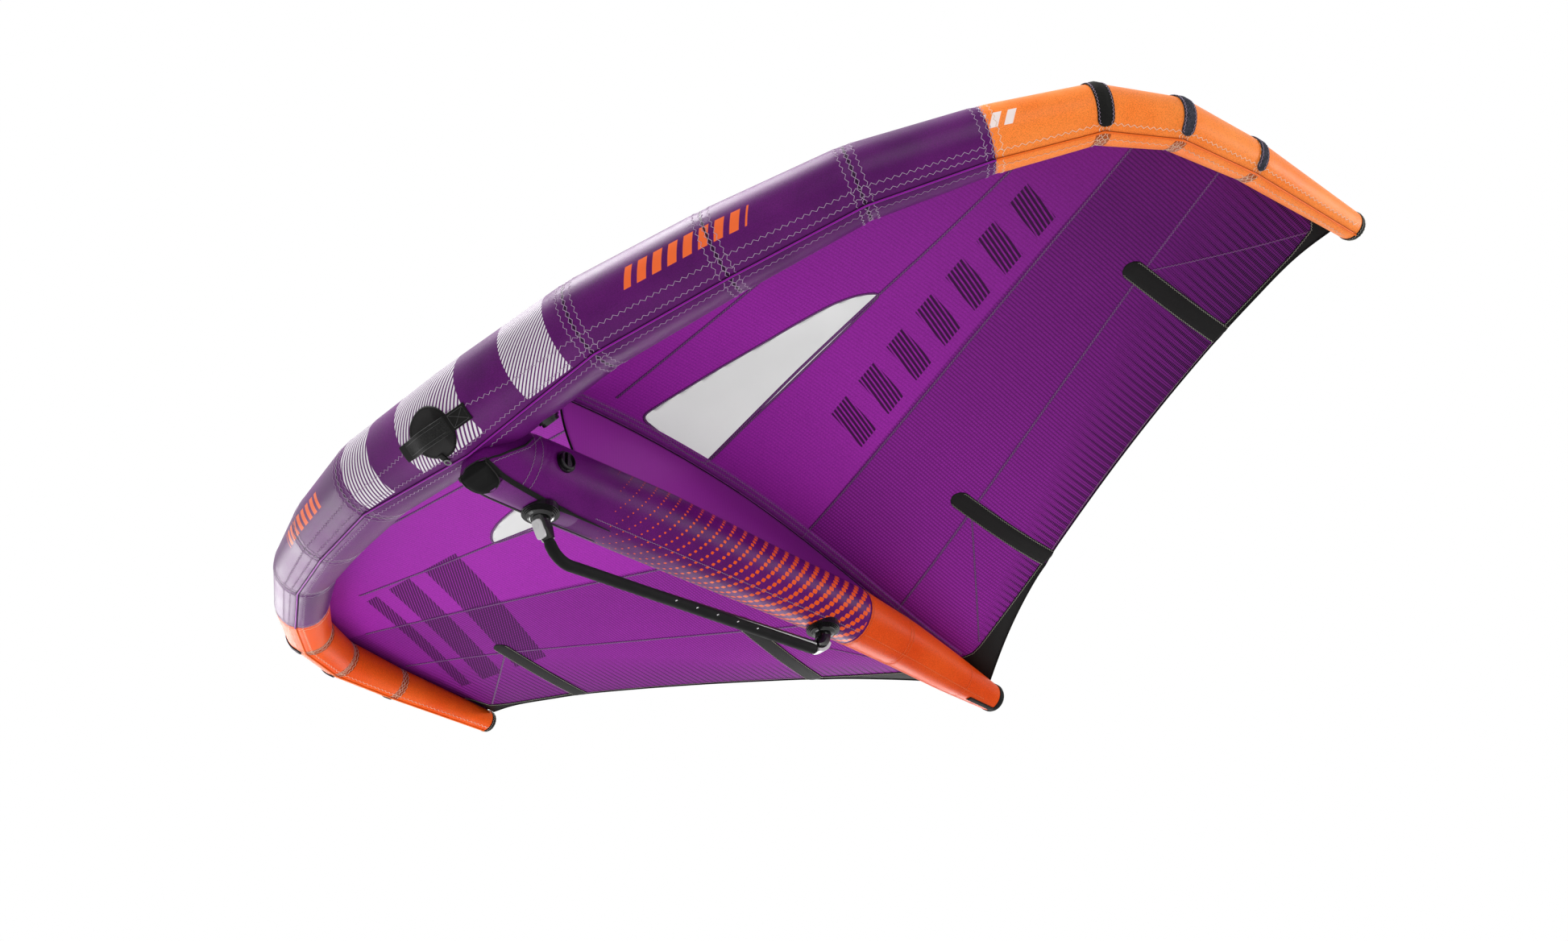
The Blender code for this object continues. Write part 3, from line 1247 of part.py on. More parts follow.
def make_leash_point(mat):
    """A webbing tab below the patch with a short loop of cord across its end."""
    lift = PATCH_STANDOFF + HANDLE_PATCH_CLOTH + GAP * 2 + TAPE_CLOTH / 2
    grid = []
    for k in range(5):
        turn = mix(LEASH_TURNS[0], LEASH_TURNS[1], k / 4)
        places = [LEASH_PLACE + t * LEASH_TAB_WIDTH / 2 for t in (-1, 0, 1)]
        grid.append([le_skin(le_station(x), turn, lift) for x in places])
    add_object("leash_tab", sheet(grid, TAPE_CLOTH), mat["black_cloth"])

    end = grid[-1][1]
    back = (end - grid[-2][1]).normalized()
    side = (grid[-1][2] - grid[-1][0]).normalized()
    out = side.cross(back).normalized()
    out = out if out.z < 0 else -out
    centre = end + out * (TAPE_CLOTH / 2 + GAP * 2 + LEASH_CORD_RADIUS)
    rings = []
    for k in range(14):
        a = math.tau * k / 14
        spoke = side * math.cos(a) + back * math.sin(a)
        middle = centre + spoke * LEASH_LOOP_RADIUS
        rings.append(oval(middle, spoke, out, LEASH_CORD_RADIUS, LEASH_CORD_RADIUS, 6))
    add_object("leash_loop", loft(rings, close_ends=False), mat["grey_cord"])


def clear_scene():
    for obj in list(bpy.data.objects):
        bpy.data.objects.remove(obj)


def main():
    clear_scene()
    datum = bpy.data.objects.new("datum", None)
    bpy.context.scene.collection.objects.link(datum)
    datum.location = -GRIP_MIDDLE
    mat = materials()

    places = valve_places()
    strut_cut = valve_cutter("strut_valve_hole", *places[0])
    le_cut = valve_cutter("le_valve_hole", *places[1])
    le_body = add_object("le_outline", le_solid(-2, 2, GAP), None)

    make_leading_edge(mat, le_cut)
    make_strut(mat, le_body, strut_cut)
    make_canopy(mat)
    make_tail_patch(mat)
    make_web(mat)
    make_base("front_base", FRONT_BASE_PLACE, FRONT_SADDLE, mat)
    make_base("rear_base", REAR_BASE_PLACE, REAR_SADDLE, mat)
    make_boom(mat)
    make_valves(mat, places)
    make_button_springs(mat)
    make_handle(mat)


if __name__ == "__main__":
    main()
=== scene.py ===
"""Looks of the wingfoil wing: woven tubes, stitched canopy, webbing, foam grip, moulded fittings.

Metres, +Z up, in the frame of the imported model. X is the span, -Y the front. Places along the
wing are counted from the datum, the bottom of the leading edge on the centre plane, and DATUM
moves them into the model's frame. A turn goes round a tube from its lowest line, a station
counts the leading edge's kinks from the centre plane out, and a share runs from 0 to 1.
"""
import math

import bpy
import numpy as np
from mathutils import Matrix, Vector


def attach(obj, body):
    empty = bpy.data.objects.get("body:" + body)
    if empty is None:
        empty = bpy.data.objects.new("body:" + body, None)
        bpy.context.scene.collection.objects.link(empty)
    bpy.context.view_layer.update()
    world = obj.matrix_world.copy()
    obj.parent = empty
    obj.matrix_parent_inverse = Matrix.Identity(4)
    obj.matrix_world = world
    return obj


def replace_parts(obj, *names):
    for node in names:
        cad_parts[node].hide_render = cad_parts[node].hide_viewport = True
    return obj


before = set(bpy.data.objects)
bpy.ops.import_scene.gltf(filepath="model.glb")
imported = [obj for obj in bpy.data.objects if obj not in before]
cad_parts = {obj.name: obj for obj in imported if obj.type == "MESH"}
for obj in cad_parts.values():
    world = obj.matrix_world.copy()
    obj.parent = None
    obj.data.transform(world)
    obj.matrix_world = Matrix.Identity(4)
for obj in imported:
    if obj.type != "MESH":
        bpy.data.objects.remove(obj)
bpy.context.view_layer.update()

bl_info = {
    "name": "Wingfoil wing",
    "version": (1, 0, 0),
    "blender": (4, 5, 0),
    "location": "View3D > Sidebar > Wing",
    "description": "Cloth, stitching and fittings of an inflatable hand-held wing",
    "category": "Add Mesh",
}

DATUM = np.array((0.0, -0.765, 0.18643))
ACROSS = np.array((1.0, 0.0, 0.0))
DOWN = np.array((0.0, 0.0, -1.0))
MIRROR = np.array((-1.0, 1.0, 1.0))
SIDES = ((-1, "left"), (1, "right"))
GAP = 0.0003

# Leading edge: stations from the centre plane to the tip
HALF_SPAN, LE_SWEEP, LE_RISE = 1.681, 1.423, 0.340
LE_HEIGHT, LE_FRONT = 0.064, 0.003
LE_CENTRE_RADIUS, LE_TIP_RADIUS = 0.124, 0.036
LE_SPAN_SHARES = (0, 0.242, 0.438, 0.620, 0.771, 0.887, 0.946, 0.974, 1)
LE_SWEEP_SHARES = (0, 0.021, 0.089, 0.178, 0.290, 0.404, 0.531, 0.707, 1)
LE_RISE_SHARES = (0, 0.124, 0.303, 0.529, 0.691, 0.835, 0.894, 0.944, 1)
LE_TAPER_SHARES = (1, 0.886, 0.778, 0.619, 0.489, 0.375, 0.290, 0.182, 0)
TIP = 8
STATIONS = range(TIP + 1)
COLOUR_STATION = 4
PIPING_TURN = math.radians(10)

# Strut: places behind the datum, axis heights and radii
STRUT_LENGTH, STRUT_START, STRUT_DROP = 1.997, 0.003, 0.036
STRUT_ARCH, STRUT_RADIUS = 0.062, 0.098
STRUT_PLACE_SHARES = (0, 0.0015, 0.0055, 0.0135, 0.0436, 0.0986, 0.299, 0.499, 0.6845, 0.800,
                      0.900, 1)
STRUT_ARCH_SHARES = (0, 0, 0, 0, 0.032, 0.129, 0.516, 0.758, 1, 0.855, 0.565, 0.306)
STRUT_RADIUS_SHARES = (0.51, 0.65, 0.80, 0.87, 0.934, 0.980, 1, 0.908, 0.852, 0.750, 0.612,
                       0.4265)
STRUT_COLOUR_STATION = 8
NOSE_CORNER, NOSE_FLAT = math.radians(41), 0.60

# Canopy: trailing edge and camber by station
TAIL_REACH, TAIL_HEIGHT = 2.011, 0.030
TE_TIP_REACH, TE_RISE, TE_HOLLOW = 1.418, 0.389, 0.018
CAMBER, CAMBER_PEAK, TAIL_SEAT = 0.143, 0.42, 0.0030
CAMBER_FRONT_POWER, CAMBER_REAR_POWER = 0.62, 1.85
TE_SPAN_SHARES = (0, 0.261, 0.440, 0.607, 0.744, 0.833, 0.892, 0.934, 0.973)
TE_REACH_SHARES = (1, 0.548, 0.381, 0.226, 0.098, 0.060, 0.035, 0.017, 0)
TE_RISE_SHARES = (0, 0.298, 0.488, 0.663, 0.810, 0.884, 0.935, 0.969, 1)
CAMBER_SHARES = (1, 0.93, 0.72, 0.45, 0.25, 0.14, 0.09, 0.06, 0.04)
TE_BAYS = (0, 1, 4, 8)

# Seams, windows and patches of the right half, as points on the plan
WINDOW = ((.041, .587), (.053, .523), (.105, .526), (.222, .544), (.325, .561), (.421, .580),
          (.547, .600), (.640, .618), (.700, .642), (.733, .668), (.744, .684), (.726, .691),
          (.58, .715), (.382, .743), (.216, .761), (.075, .779), (.032, .785), (.02, .766),
          (.026, .675))
PANEL_SEAMS = (((.072, .413), (.387, .412), (.735, .399), (.90, .392)),
               ((.020, .786), (.392, .732), (.744, .686), (.991, .658), (1.29, .606)),
               ((.006, 1.187), (.358, 1.101), (.922, .953), (1.50, .785)),
               ((.008, 1.574), (.525, 1.393), (1.246, 1.138), (1.595, 1.016)))
SHORT_SEAMS = (((1.26, 1.154), (1.62, 1.394)), ((.439, 1.408), (.104, 1.838)))
BATTENS = (("inner", (.424, 1.352), (.453, 1.722)), ("outer", (1.225, 1.090), (1.2505, 1.472)))
SLEEVE_HALF, BATTEN_HALF = 0.0295, 0.013
TAIL_PATCH = ((0, 1.842), (.060, 1.858), (.093, 1.851), (.162, 1.826), (.436, 1.729))
TIP_PATCH = ((1.262, 1.4545), (1.40, 1.424), (1.52, 1.398), (1.60, 1.372), (1.648, 1.300))


def mix(a, b, t):
    return a + (b - a) * t


def smooth_step(a, b, x):
    t = np.clip((x - a) / (b - a), 0, 1)
    return t * t * (3 - 2 * t)


def unit(v):
    return v / np.maximum(np.linalg.norm(v, axis=-1, keepdims=True), 1e-12)


def spread(*values):
    """Numbers and arrays brought to one shape."""
    return np.broadcast_arrays(*(np.asarray(v, float) for v in values))


def mirrored(points, side):
    return points if side > 0 else points * MIRROR


def turns_round(count):
    """Even turns round a circle."""
    return np.arange(count) * math.tau / count


def read_points(at, places, points):
    """Points of a table, read between its places."""
    return np.stack([np.interp(at, places, column) for column in np.transpose(points)], axis=-1)


def arc_lengths(path):
    steps = np.linalg.norm(np.diff(path, axis=0), axis=1)
    return np.concatenate(((0.0,), np.cumsum(steps)))


def blurred(raw, width):
    """A row of values with its corners rounded over a width, its ends kept."""
    kernel = np.hanning(2 * width + 1)
    before, after = 2 * raw[0] - raw[width:0:-1], 2 * raw[-1] - raw[-2:-width - 2:-1]
    return np.convolve(np.concatenate((before, raw, after)), kernel / kernel.sum(), mode="valid")


def round_end(at, half, least):
    """Half the width of a strip with a round end, at lengths from that end."""
    return half * np.sqrt(np.clip(1 - (1 - np.minimum(at / half, 1)) ** 2, least, 1))


# Surfaces

LE_CENTRES = np.stack((HALF_SPAN * np.array(LE_SPAN_SHARES),
                       LE_SWEEP * np.array(LE_SWEEP_SHARES) - LE_FRONT,
                       LE_RISE * np.array(LE_RISE_SHARES) + LE_HEIGHT), axis=1)
LE_RADII = mix(LE_TIP_RADIUS, LE_CENTRE_RADIUS, np.array(LE_TAPER_SHARES))
LE_LENGTHS = arc_lengths(LE_CENTRES)


def mitre_frames():
    """At each station: the ring's low and front ways, the bend's way and how far it stretches."""
    rows = []
    for i in STATIONS:
        before = unit(LE_CENTRES[i] - (LE_CENTRES[i - 1] if i else LE_CENTRES[1] * MIRROR))
        after = unit(LE_CENTRES[i + 1] - LE_CENTRES[i]) if i < TIP else before
        normal = unit(before + after)
        low = unit(DOWN - normal * DOWN.dot(normal))
        bend = after - before
        size = np.linalg.norm(bend)
        bend = bend / size if size > GAP else bend * 0
        rows.append((low, np.cross(low, normal), bend, 1 / before.dot(normal) - 1))
    return [np.array(column) for column in zip(*rows)]


LE_LOW, LE_AHEAD, LE_BEND, LE_STRETCH = mitre_frames()


def by_station(s, table):
    """A table of the leading edge read at stations of either side."""
    return np.interp(np.abs(s), STATIONS, table)


def station_at(x):
    """The station over a place of the span."""
    return np.interp(np.abs(x), LE_CENTRES[:, 0], STATIONS) * np.sign(x)


def station_of(length):
    """The station at a length along the tube's axis from the centre plane."""
    return np.interp(length, LE_LENGTHS, STATIONS)


def le_ring_point(i, turn, lift):
    reach = (LE_LOW[i] * np.cos(turn)[..., None] + LE_AHEAD[i] * np.sin(turn)[..., None])
    reach = reach * (LE_RADII[i] + lift)[..., None]
    along = (reach * LE_BEND[i]).sum(-1) * LE_STRETCH[i]
    return LE_CENTRES[i] + reach + LE_BEND[i] * along[..., None]


def le_skin(s, turn, lift=0.0):
    """Points on the tube: station from -8 to 8, turn from the lowest line to the front."""
    s, turn, lift = spread(s, turn, lift)
    side = np.abs(s)
    i = np.minimum(side.astype(int), TIP - 1)
    t = (side - i)[..., None]
    p = mix(le_ring_point(i, turn, lift), le_ring_point(i + 1, turn, lift), t)
    return p * np.where(s[..., None] < 0, MIRROR, 1.0)


def seam_turn(s):
    return PIPING_TURN * np.minimum(1, np.abs(s))


STRUT_PLACES = STRUT_LENGTH * np.array(STRUT_PLACE_SHARES) + STRUT_START
STRUT_RUN = np.linspace(STRUT_PLACES[0], STRUT_PLACES[-1], 1200)


def eased(values):
    """A table of the strut at close places, its corners rounded between nose and end cap."""
    raw = np.interp(STRUT_RUN, STRUT_PLACES, values)
    inside = smooth_step(0.12, 0.24, STRUT_RUN) * (1 - smooth_step(1.93, 1.98, STRUT_RUN))
    return mix(raw, blurred(raw, 40), inside)


STRUT_HEIGHT_RUN = eased(STRUT_ARCH * np.array(STRUT_ARCH_SHARES) - STRUT_DROP)
STRUT_RADIUS_RUN = eased(STRUT_RADIUS * np.array(STRUT_RADIUS_SHARES))


def strut_height(y):
    return np.interp(y, STRUT_RUN, STRUT_HEIGHT_RUN)


def strut_radius(y):
    return np.interp(y, STRUT_RUN, STRUT_RADIUS_RUN)


def strut_skin(y, turn, lift=0.0):
    """Points on the strut, whose belly is flattened at the nose; turn is towards +X."""
    y, turn, lift = spread(y, turn, lift)
    r, level, corner = strut_radius(y) + lift, np.cos(turn), np.cos(NOSE_CORNER)
    flat = np.minimum(level, mix(np.maximum(corner, level), corner, NOSE_FLAT))
    flat = mix(level, flat, 1 - smooth_step(0.004, 0.060, y))
    return np.stack((r * np.sin(turn), y, strut_height(y) - r * flat), axis=-1)


def on_skin(skin, place, turn, lift=0.0):
    """Points at a lift over a tube's skin, and the way out of it there."""
    p = skin(place, turn, lift)
    return p, unit(skin(place, turn, lift + 0.01) - p)


STATION_RUN = np.linspace(0, TIP, 641)


def rounded_table(values):
    """A table by station read at close steps, its corners rounded and its ends kept."""
    return blurred(np.interp(STATION_RUN, STATIONS, values), 28)


def front_run():
    """The line where the canopy meets the tube, as it is and with its kinks rounded."""
    run = le_skin(STATION_RUN, seam_turn(STATION_RUN) + math.pi, GAP + 0.0005)
    at_kinks = read_points(STATIONS, STATION_RUN, run)
    soft = np.stack([rounded_table(column) for column in at_kinks.T], axis=1)
    soft[:, 0] -= soft[0, 0]
    return run, soft


def rear_run():
    """The trailing edge, hollow between the battens and the tips."""
    hollow = np.zeros_like(STATION_RUN)
    for a, b in zip(TE_BAYS, TE_BAYS[1:]):
        inside = (STATION_RUN >= a) & (STATION_RUN <= b)
        hollow[inside] = TE_HOLLOW * np.sin(math.pi * (STATION_RUN[inside] - a) / (b - a))
    x = rounded_table(HALF_SPAN * np.array(TE_SPAN_SHARES))
    x -= x[0] * (1 - STATION_RUN / TIP)
    y = mix(TE_TIP_REACH, TAIL_REACH, rounded_table(TE_REACH_SHARES)) - hollow
    return np.stack((x, y, TAIL_HEIGHT + TE_RISE * rounded_table(TE_RISE_SHARES)), axis=1)


FRONT_RUN, FRONT_SOFT = front_run()
REAR_RUN = rear_run()
CAMBER_RUN = rounded_table(CAMBER_SHARES)


def te_y(x):
    """The trailing edge behind a place of the span."""
    return np.interp(x, REAR_RUN[:, 0], REAR_RUN[:, 1])


def camber(c):
    """The share of the full camber at a chord share."""
    c = np.clip(c, 0, 1)
    front = np.sin(math.pi / 2 * np.minimum(c / CAMBER_PEAK, 1)) ** CAMBER_FRONT_POWER
    rear = np.sin(math.pi / 2 * np.minimum((1 - c) / (1 - CAMBER_PEAK), 1)) ** CAMBER_REAR_POWER
    return np.where(c <= CAMBER_PEAK, front, rear)


def canopy_at(s, c):
    """Points of the right half of the canopy at station s and chord share c."""
    s, c = spread(s, c)
    front, soft, rear = (read_points(s, STATION_RUN, r) for r in (FRONT_RUN, FRONT_SOFT, REAR_RUN))
    p = mix(mix(front, soft, smooth_step(0, 0.25, c)[..., None]), rear, c[..., None])
    p[..., 2] += CAMBER * np.interp(s, STATION_RUN, CAMBER_RUN) * camber(c)
    x, y, z = p[..., 0], p[..., 1], p[..., 2]
    seat = np.sqrt(np.maximum((strut_radius(y) + TAIL_SEAT) ** 2 - x ** 2, 0))
    over_strut = (c > CAMBER_PEAK) & (x < strut_radius(y))
    p[..., 2] = np.where(over_strut, np.maximum(z, strut_height(y) + seat), z)
    return p


def canopy_place(x, y):
    """Station and chord share under a point of the plan, by a few Newton steps."""
    s = np.clip(station_at(x), 0.01, TIP - 0.01)
    c = np.clip((y - 0.1) / 1.7, 0.02, 0.98)
    step = 1e-4
    for _ in range(25):
        p = canopy_at(s, c)
        by_s = (canopy_at(s + step, c) - p) / step
        by_c = (canopy_at(s, c + step) - p) / step
        ex, ey = x - p[..., 0], y - p[..., 1]
        det = by_s[..., 0] * by_c[..., 1] - by_s[..., 1] * by_c[..., 0]
        det = np.where(np.abs(det) < 1e-6, 1e-6, det)
        ds = (ex * by_c[..., 1] - ey * by_c[..., 0]) / det
        dc = (ey * by_s[..., 0] - ex * by_s[..., 1]) / det
        s = np.clip(s + np.clip(ds, -0.5, 0.5), 0, TIP)
        c = np.clip(c + np.clip(dc, -0.2, 0.2), 0, 1)
    return s, c


def canopy_normal(s, c):
    step = 2e-3
    by_s = canopy_at(np.minimum(s + step, TIP), c) - canopy_at(np.maximum(s - step, 0), c)
    by_c = canopy_at(s, np.minimum(c + step, 1)) - canopy_at(s, np.maximum(c - step, 0))
    n = unit(np.cross(by_s, by_c))
    return n * np.where(n[..., 2:] < 0, -1.0, 1.0)


def under_plan(path, side, drop):
    """Points a drop under a half of the canopy below points of the plan, and the way down."""
    s, c = canopy_place(path[:, 0], path[:, 1])
    n = canopy_normal(s, c)
    return mirrored(canopy_at(s, c) - n * drop, side), mirrored(-n, side)


def dense(points, step):
    """A polyline with points no further apart than a step."""
    points = np.asarray(points, float)
    out = [points[:1]]
    for a, b in zip(points, points[1:]):
        count = max(1, int(math.ceil(np.linalg.norm(b - a) / step)))
        out.append(a + (b - a) * (np.arange(1, count + 1) / count)[:, None])
    return np.concatenate(out)


def cut_corners(points, share):
    """The points of a polyline moved in from both ends of each of its sides by a share."""
    a, b = points[:-1], points[1:]
    return np.stack((mix(a, b, share), mix(a, b, 1 - share)), axis=1).reshape(-1, 2)


def across_plan(path):
    """The way to the left along a path of the plan."""
    tangent = unit(np.gradient(path, axis=0))
    return np.stack((-tangent[:, 1], tangent[:, 0]), axis=1)


# Meshes

def new_piece(name, verts, faces, material, body="wing", corner_uv=None, sharp=None):
    """A finished mesh at the origin that rides on a body, its faces outwards."""
    mesh = bpy.data.meshes.new(name)
    mesh.from_pydata((np.asarray(verts, float).reshape(-1, 3) + DATUM).tolist(), [], faces)
    if corner_uv is not None:
        layer = mesh.uv_layers.new(name="UVMap")
        layer.data.foreach_set("uv", np.asarray(corner_uv, np.float32).ravel())
    mesh.polygons.foreach_set("use_smooth", [True] * len(mesh.polygons))
    mesh.materials.append(material)
    mesh.update()
    obj = bpy.data.objects.new(name, mesh)
    bpy.context.scene.collection.objects.link(obj)
    if sharp:
        mesh.set_sharp_from_angle(angle=math.radians(sharp))
    face_out(mesh)
    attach(obj, body)
    return obj


def face_out(mesh):
    """Turns a closed mesh's faces round if they enclose a negative volume."""
    mesh.calc_loop_triangles()
    corners = np.empty(len(mesh.loop_triangles) * 3, int)
    mesh.loop_triangles.foreach_get("vertices", corners)
    co = np.empty(len(mesh.vertices) * 3)
    mesh.vertices.foreach_get("co", co)
    a, b, c = (co.reshape(-1, 3)[corners.reshape(-1, 3)[:, k]] for k in range(3))
    if (np.cross(a, b) * c).sum() < 0:
        mesh.flip_normals()


def cloth(name, points, thickness, material, uv=None):
    """A thin closed body round a grid of points, with cloth of a thickness."""
    points = np.asarray(points, float)
    rows, cols = points.shape[:2]
    normals = unit(np.cross(np.gradient(points, axis=0), np.gradient(points, axis=1)))
    n = normals * (thickness / 2)
    verts = np.concatenate(((points + n).reshape(-1, 3), (points - n).reshape(-1, 3)))
    low = rows * cols
    index = np.arange(low).reshape(rows, cols)
    a, b = index[:-1, :-1].ravel(), index[1:, :-1].ravel()
    c, d = index[1:, 1:].ravel(), index[:-1, 1:].ravel()
    top = np.stack((a, b, c, d), axis=1)
    under = np.stack((a, d, c, b), axis=1) + low
    rim = np.concatenate((index[:, 0], index[-1, 1:], index[-2::-1, -1], index[0, -2:0:-1]))
    after = np.roll(rim, -1)
    side = np.stack((rim, rim + low, after + low, after), axis=1)
    faces = np.concatenate((top, under, side))
    corner_uv = None
    if uv is not None:
        corner_uv = np.concatenate((uv, uv)).reshape(-1, 2)[faces.ravel()]
    return new_piece(name, verts, faces.tolist(), material, corner_uv=corner_uv)


def tube(name, rings, material, body="wing", uv=None, sharp=None, caps=True):
    """A closed body through rings, or a ring of rings; uv has one more column than they have."""
    rings = np.asarray(rings, float)
    rows, cols = rings.shape[:2]
    bays = np.arange(rows - 1 if caps else rows)
    r, k = (a.ravel() for a in np.meshgrid(bays, np.arange(cols), indexing="ij"))
    r2, k2 = (r + 1) % rows, (k + 1) % cols
    faces = np.stack((r * cols + k, r2 * cols + k, r2 * cols + k2, r * cols + k2), axis=1).tolist()
    if caps:
        faces += [list(range(cols))[::-1], list(range((rows - 1) * cols, rows * cols))]
    if uv is not None:
        sides = np.stack((uv[r, k], uv[r2, k], uv[r2, k + 1], uv[r, k + 1]), axis=1)
        uv = np.concatenate((sides.reshape(-1, 2), uv[0, :cols][::-1], uv[-1, :cols]))
    return new_piece(name, rings, faces, material, body, uv, sharp)


def rings_along(path, radius, sides, up=ACROSS, flat=1.0):
    """Rings square to a path of points, flattened across the way up."""
    t = unit(np.gradient(path, axis=0))
    up = np.broadcast_to(up, path.shape)
    a = unit(up - t * (up * t).sum(-1, keepdims=True))
    b = np.cross(t, a)
    k = turns_round(sides)[None, :, None]
    radius = np.broadcast_to(radius, (len(path),))[:, None, None]
    return path[:, None] + radius * (np.cos(k) * a[:, None] + flat * np.sin(k) * b[:, None])


class Thread:
    """Rows of stitches gathered into one mesh."""

    PROUD, LIFT = 0.0006, 0.0003

    def __init__(self):
        self.verts, self.faces, self.count = [], [], 0

    def strand(self, points, out, width, proud):
        """A raised strand through points, with a three-cornered section."""
        rows = len(points)
        side = unit(np.cross(unit(np.gradient(points, axis=0)), out)) * (width / 2)
        rings = np.stack((points - side, points + side, points + out * proud), axis=1)
        self.verts.append(rings.reshape(-1, 3))
        k = self.count + 3 * np.arange(rows - 1)
        for a, b in ((0, 1), (1, 2), (2, 0)):
            self.faces += np.stack((k + a, k + b, k + 3 + b, k + 3 + a), axis=1).tolist()
        first, last = self.count, self.count + 3 * rows - 3
        self.faces += [[first + 2, first + 1, first], [last, last + 1, last + 2]]
        self.count += 3 * rows

    def zigzag(self, path, out, period, swing, width, phase=0):
        """Stitches that swing from side to side of a path on a surface."""
        lengths = arc_lengths(path)
        count = max(2, int(round(lengths[-1] / (period / 2))))
        at = np.linspace(0, lengths[-1], count + 1)
        p, n = read_points(at, lengths, path), unit(read_points(at, lengths, out))
        way = np.cross(n, unit(np.gradient(p, axis=0)))
        sign = np.where((np.arange(count + 1) + phase) % 2, 1.0, -1.0)[:, None]
        self.strand(p + way * sign * swing + n * self.LIFT, n, width, self.PROUD)

    def piece(self, name, material, body="wing"):
        return new_piece(name, np.concatenate(self.verts), self.faces, material, body)


# Materials

RGBA = {"out": 2, "data_type": "RGBA"}


def colour(text):
    """An sRGB hex value as linear light."""
    parts = [int(text[k:k + 2], 16) / 255 for k in (1, 3, 5)]
    return [v / 12.92 if v <= 0.04045 else ((v + 0.055) / 1.055) ** 2.4 for v in parts]


def put(tree, kind, inputs=(), out=0, **settings):
    """Adds a node with its settings and links; gives the socket that others read."""
    node = tree.nodes.new("ShaderNode" + kind)
    for key, value in settings.items():
        setattr(node, key, value)
    for key, value in inputs.items() if isinstance(inputs, dict) else enumerate(inputs):
        if isinstance(value, bpy.types.NodeSocket):
            tree.links.new(value, node.inputs[key])
        else:
            value = (*colour(value), 1) if isinstance(value, str) else value
            node.inputs[key].default_value = value
    return node.outputs[out]


def begin(name, roughness, specular=0.5, **shader):
    """A new material, its tree and its shader, ready for a pattern."""
    mat = bpy.data.materials.new(name)
    mat.use_nodes = True
    bsdf = mat.node_tree.nodes["Principled BSDF"]
    values = {"Roughness": roughness, "Specular IOR Level": specular, **shader}
    for key, value in values.items():
        bsdf.inputs[key.replace("_", " ")].default_value = value
    return mat, mat.node_tree, bsdf


def connect(bsdf, base, height=None, strength=0.0, depth=0.0, rough=None):
    """Links a colour, the bump of a height and a roughness to the shader."""
    tree = bsdf.id_data
    tree.links.new(base, bsdf.inputs["Base Color"])
    if height is not None:
        bump = put(tree, "Bump", {"Height": height, "Strength": strength, "Distance": depth})
        tree.links.new(bump, bsdf.inputs["Normal"])
    if rough is not None:
        tree.links.new(rough, bsdf.inputs["Roughness"])


def all_of(tree, first, *others):
    """Masks, or a mask and its strength, multiplied together."""
    for other in others:
        first = put(tree, "Math", (first, other), operation="MULTIPLY")
    return first


def any_of(tree, first, *others):
    """1 where any of the masks is."""
    for other in others:
        first = put(tree, "Math", (first, other), operation="MAXIMUM")
    return first


def weighted(tree, *terms):
    """The sum of values, each times its weight: such as a distance along a slanted line."""
    parts = [value if weight == 1 else all_of(tree, value, weight) for value, weight in terms]
    total = parts[0]
    for part in parts[1:]:
        total = put(tree, "Math", (total, part), operation="ADD")
    return total


def nearest(tree, value, pitch):
    """The number of the row that a value is nearest to, and how far off it that is."""
    row = put(tree, "Math", (all_of(tree, value, 1 / pitch),), operation="ROUND")
    return row, weighted(tree, (value, 1), (row, -pitch))


def band(tree, value, low, high, soft=0.0006):
    """1 where a value lies between two limits, with an edge of a softness."""
    return all_of(tree, put(tree, "MapRange", (value, low - soft, low + soft)),
                  put(tree, "MapRange", (value, high - soft, high + soft, 1.0, 0.0)))


def stripes(tree, value, pitch, share, soft=0.06):
    """1 on a share of each pitch of a value; the share can be a socket."""
    turn = put(tree, "Math", (value, pitch), operation="DIVIDE")
    turn = put(tree, "Math", (turn,), operation="FRACT")
    off = put(tree, "Math", (turn, 0.5), operation="SUBTRACT")
    off = put(tree, "Math", (off,), operation="ABSOLUTE")
    if not isinstance(share, bpy.types.NodeSocket):
        return put(tree, "MapRange", (off, share / 2 - soft, share / 2 + soft, 1.0, 0.0))
    inside = put(tree, "Math", (all_of(tree, share, 0.5), off), operation="SUBTRACT")
    return put(tree, "MapRange", (inside, -soft, soft))


def weave(tree, vector, pitch):
    """A plain weave: 0 to 1 over crossing threads a pitch apart."""
    x, y, _ = put(tree, "SeparateXYZ", (vector,)).node.outputs
    waves = [put(tree, "Math", (all_of(tree, axis, math.tau / pitch),), operation="SINE")
             for axis in (x, y)]
    return put(tree, "MapRange", (all_of(tree, *waves), -1.0, 1.0))


def speckled(tree, base, grain, low, high, dark, bright):
    """A colour made darker and brighter by a fine grain."""
    speck = put(tree, "MapRange", (grain, low, high, dark, bright))
    return put(tree, "VectorMath", {0: base, "Scale": speck}, operation="SCALE")


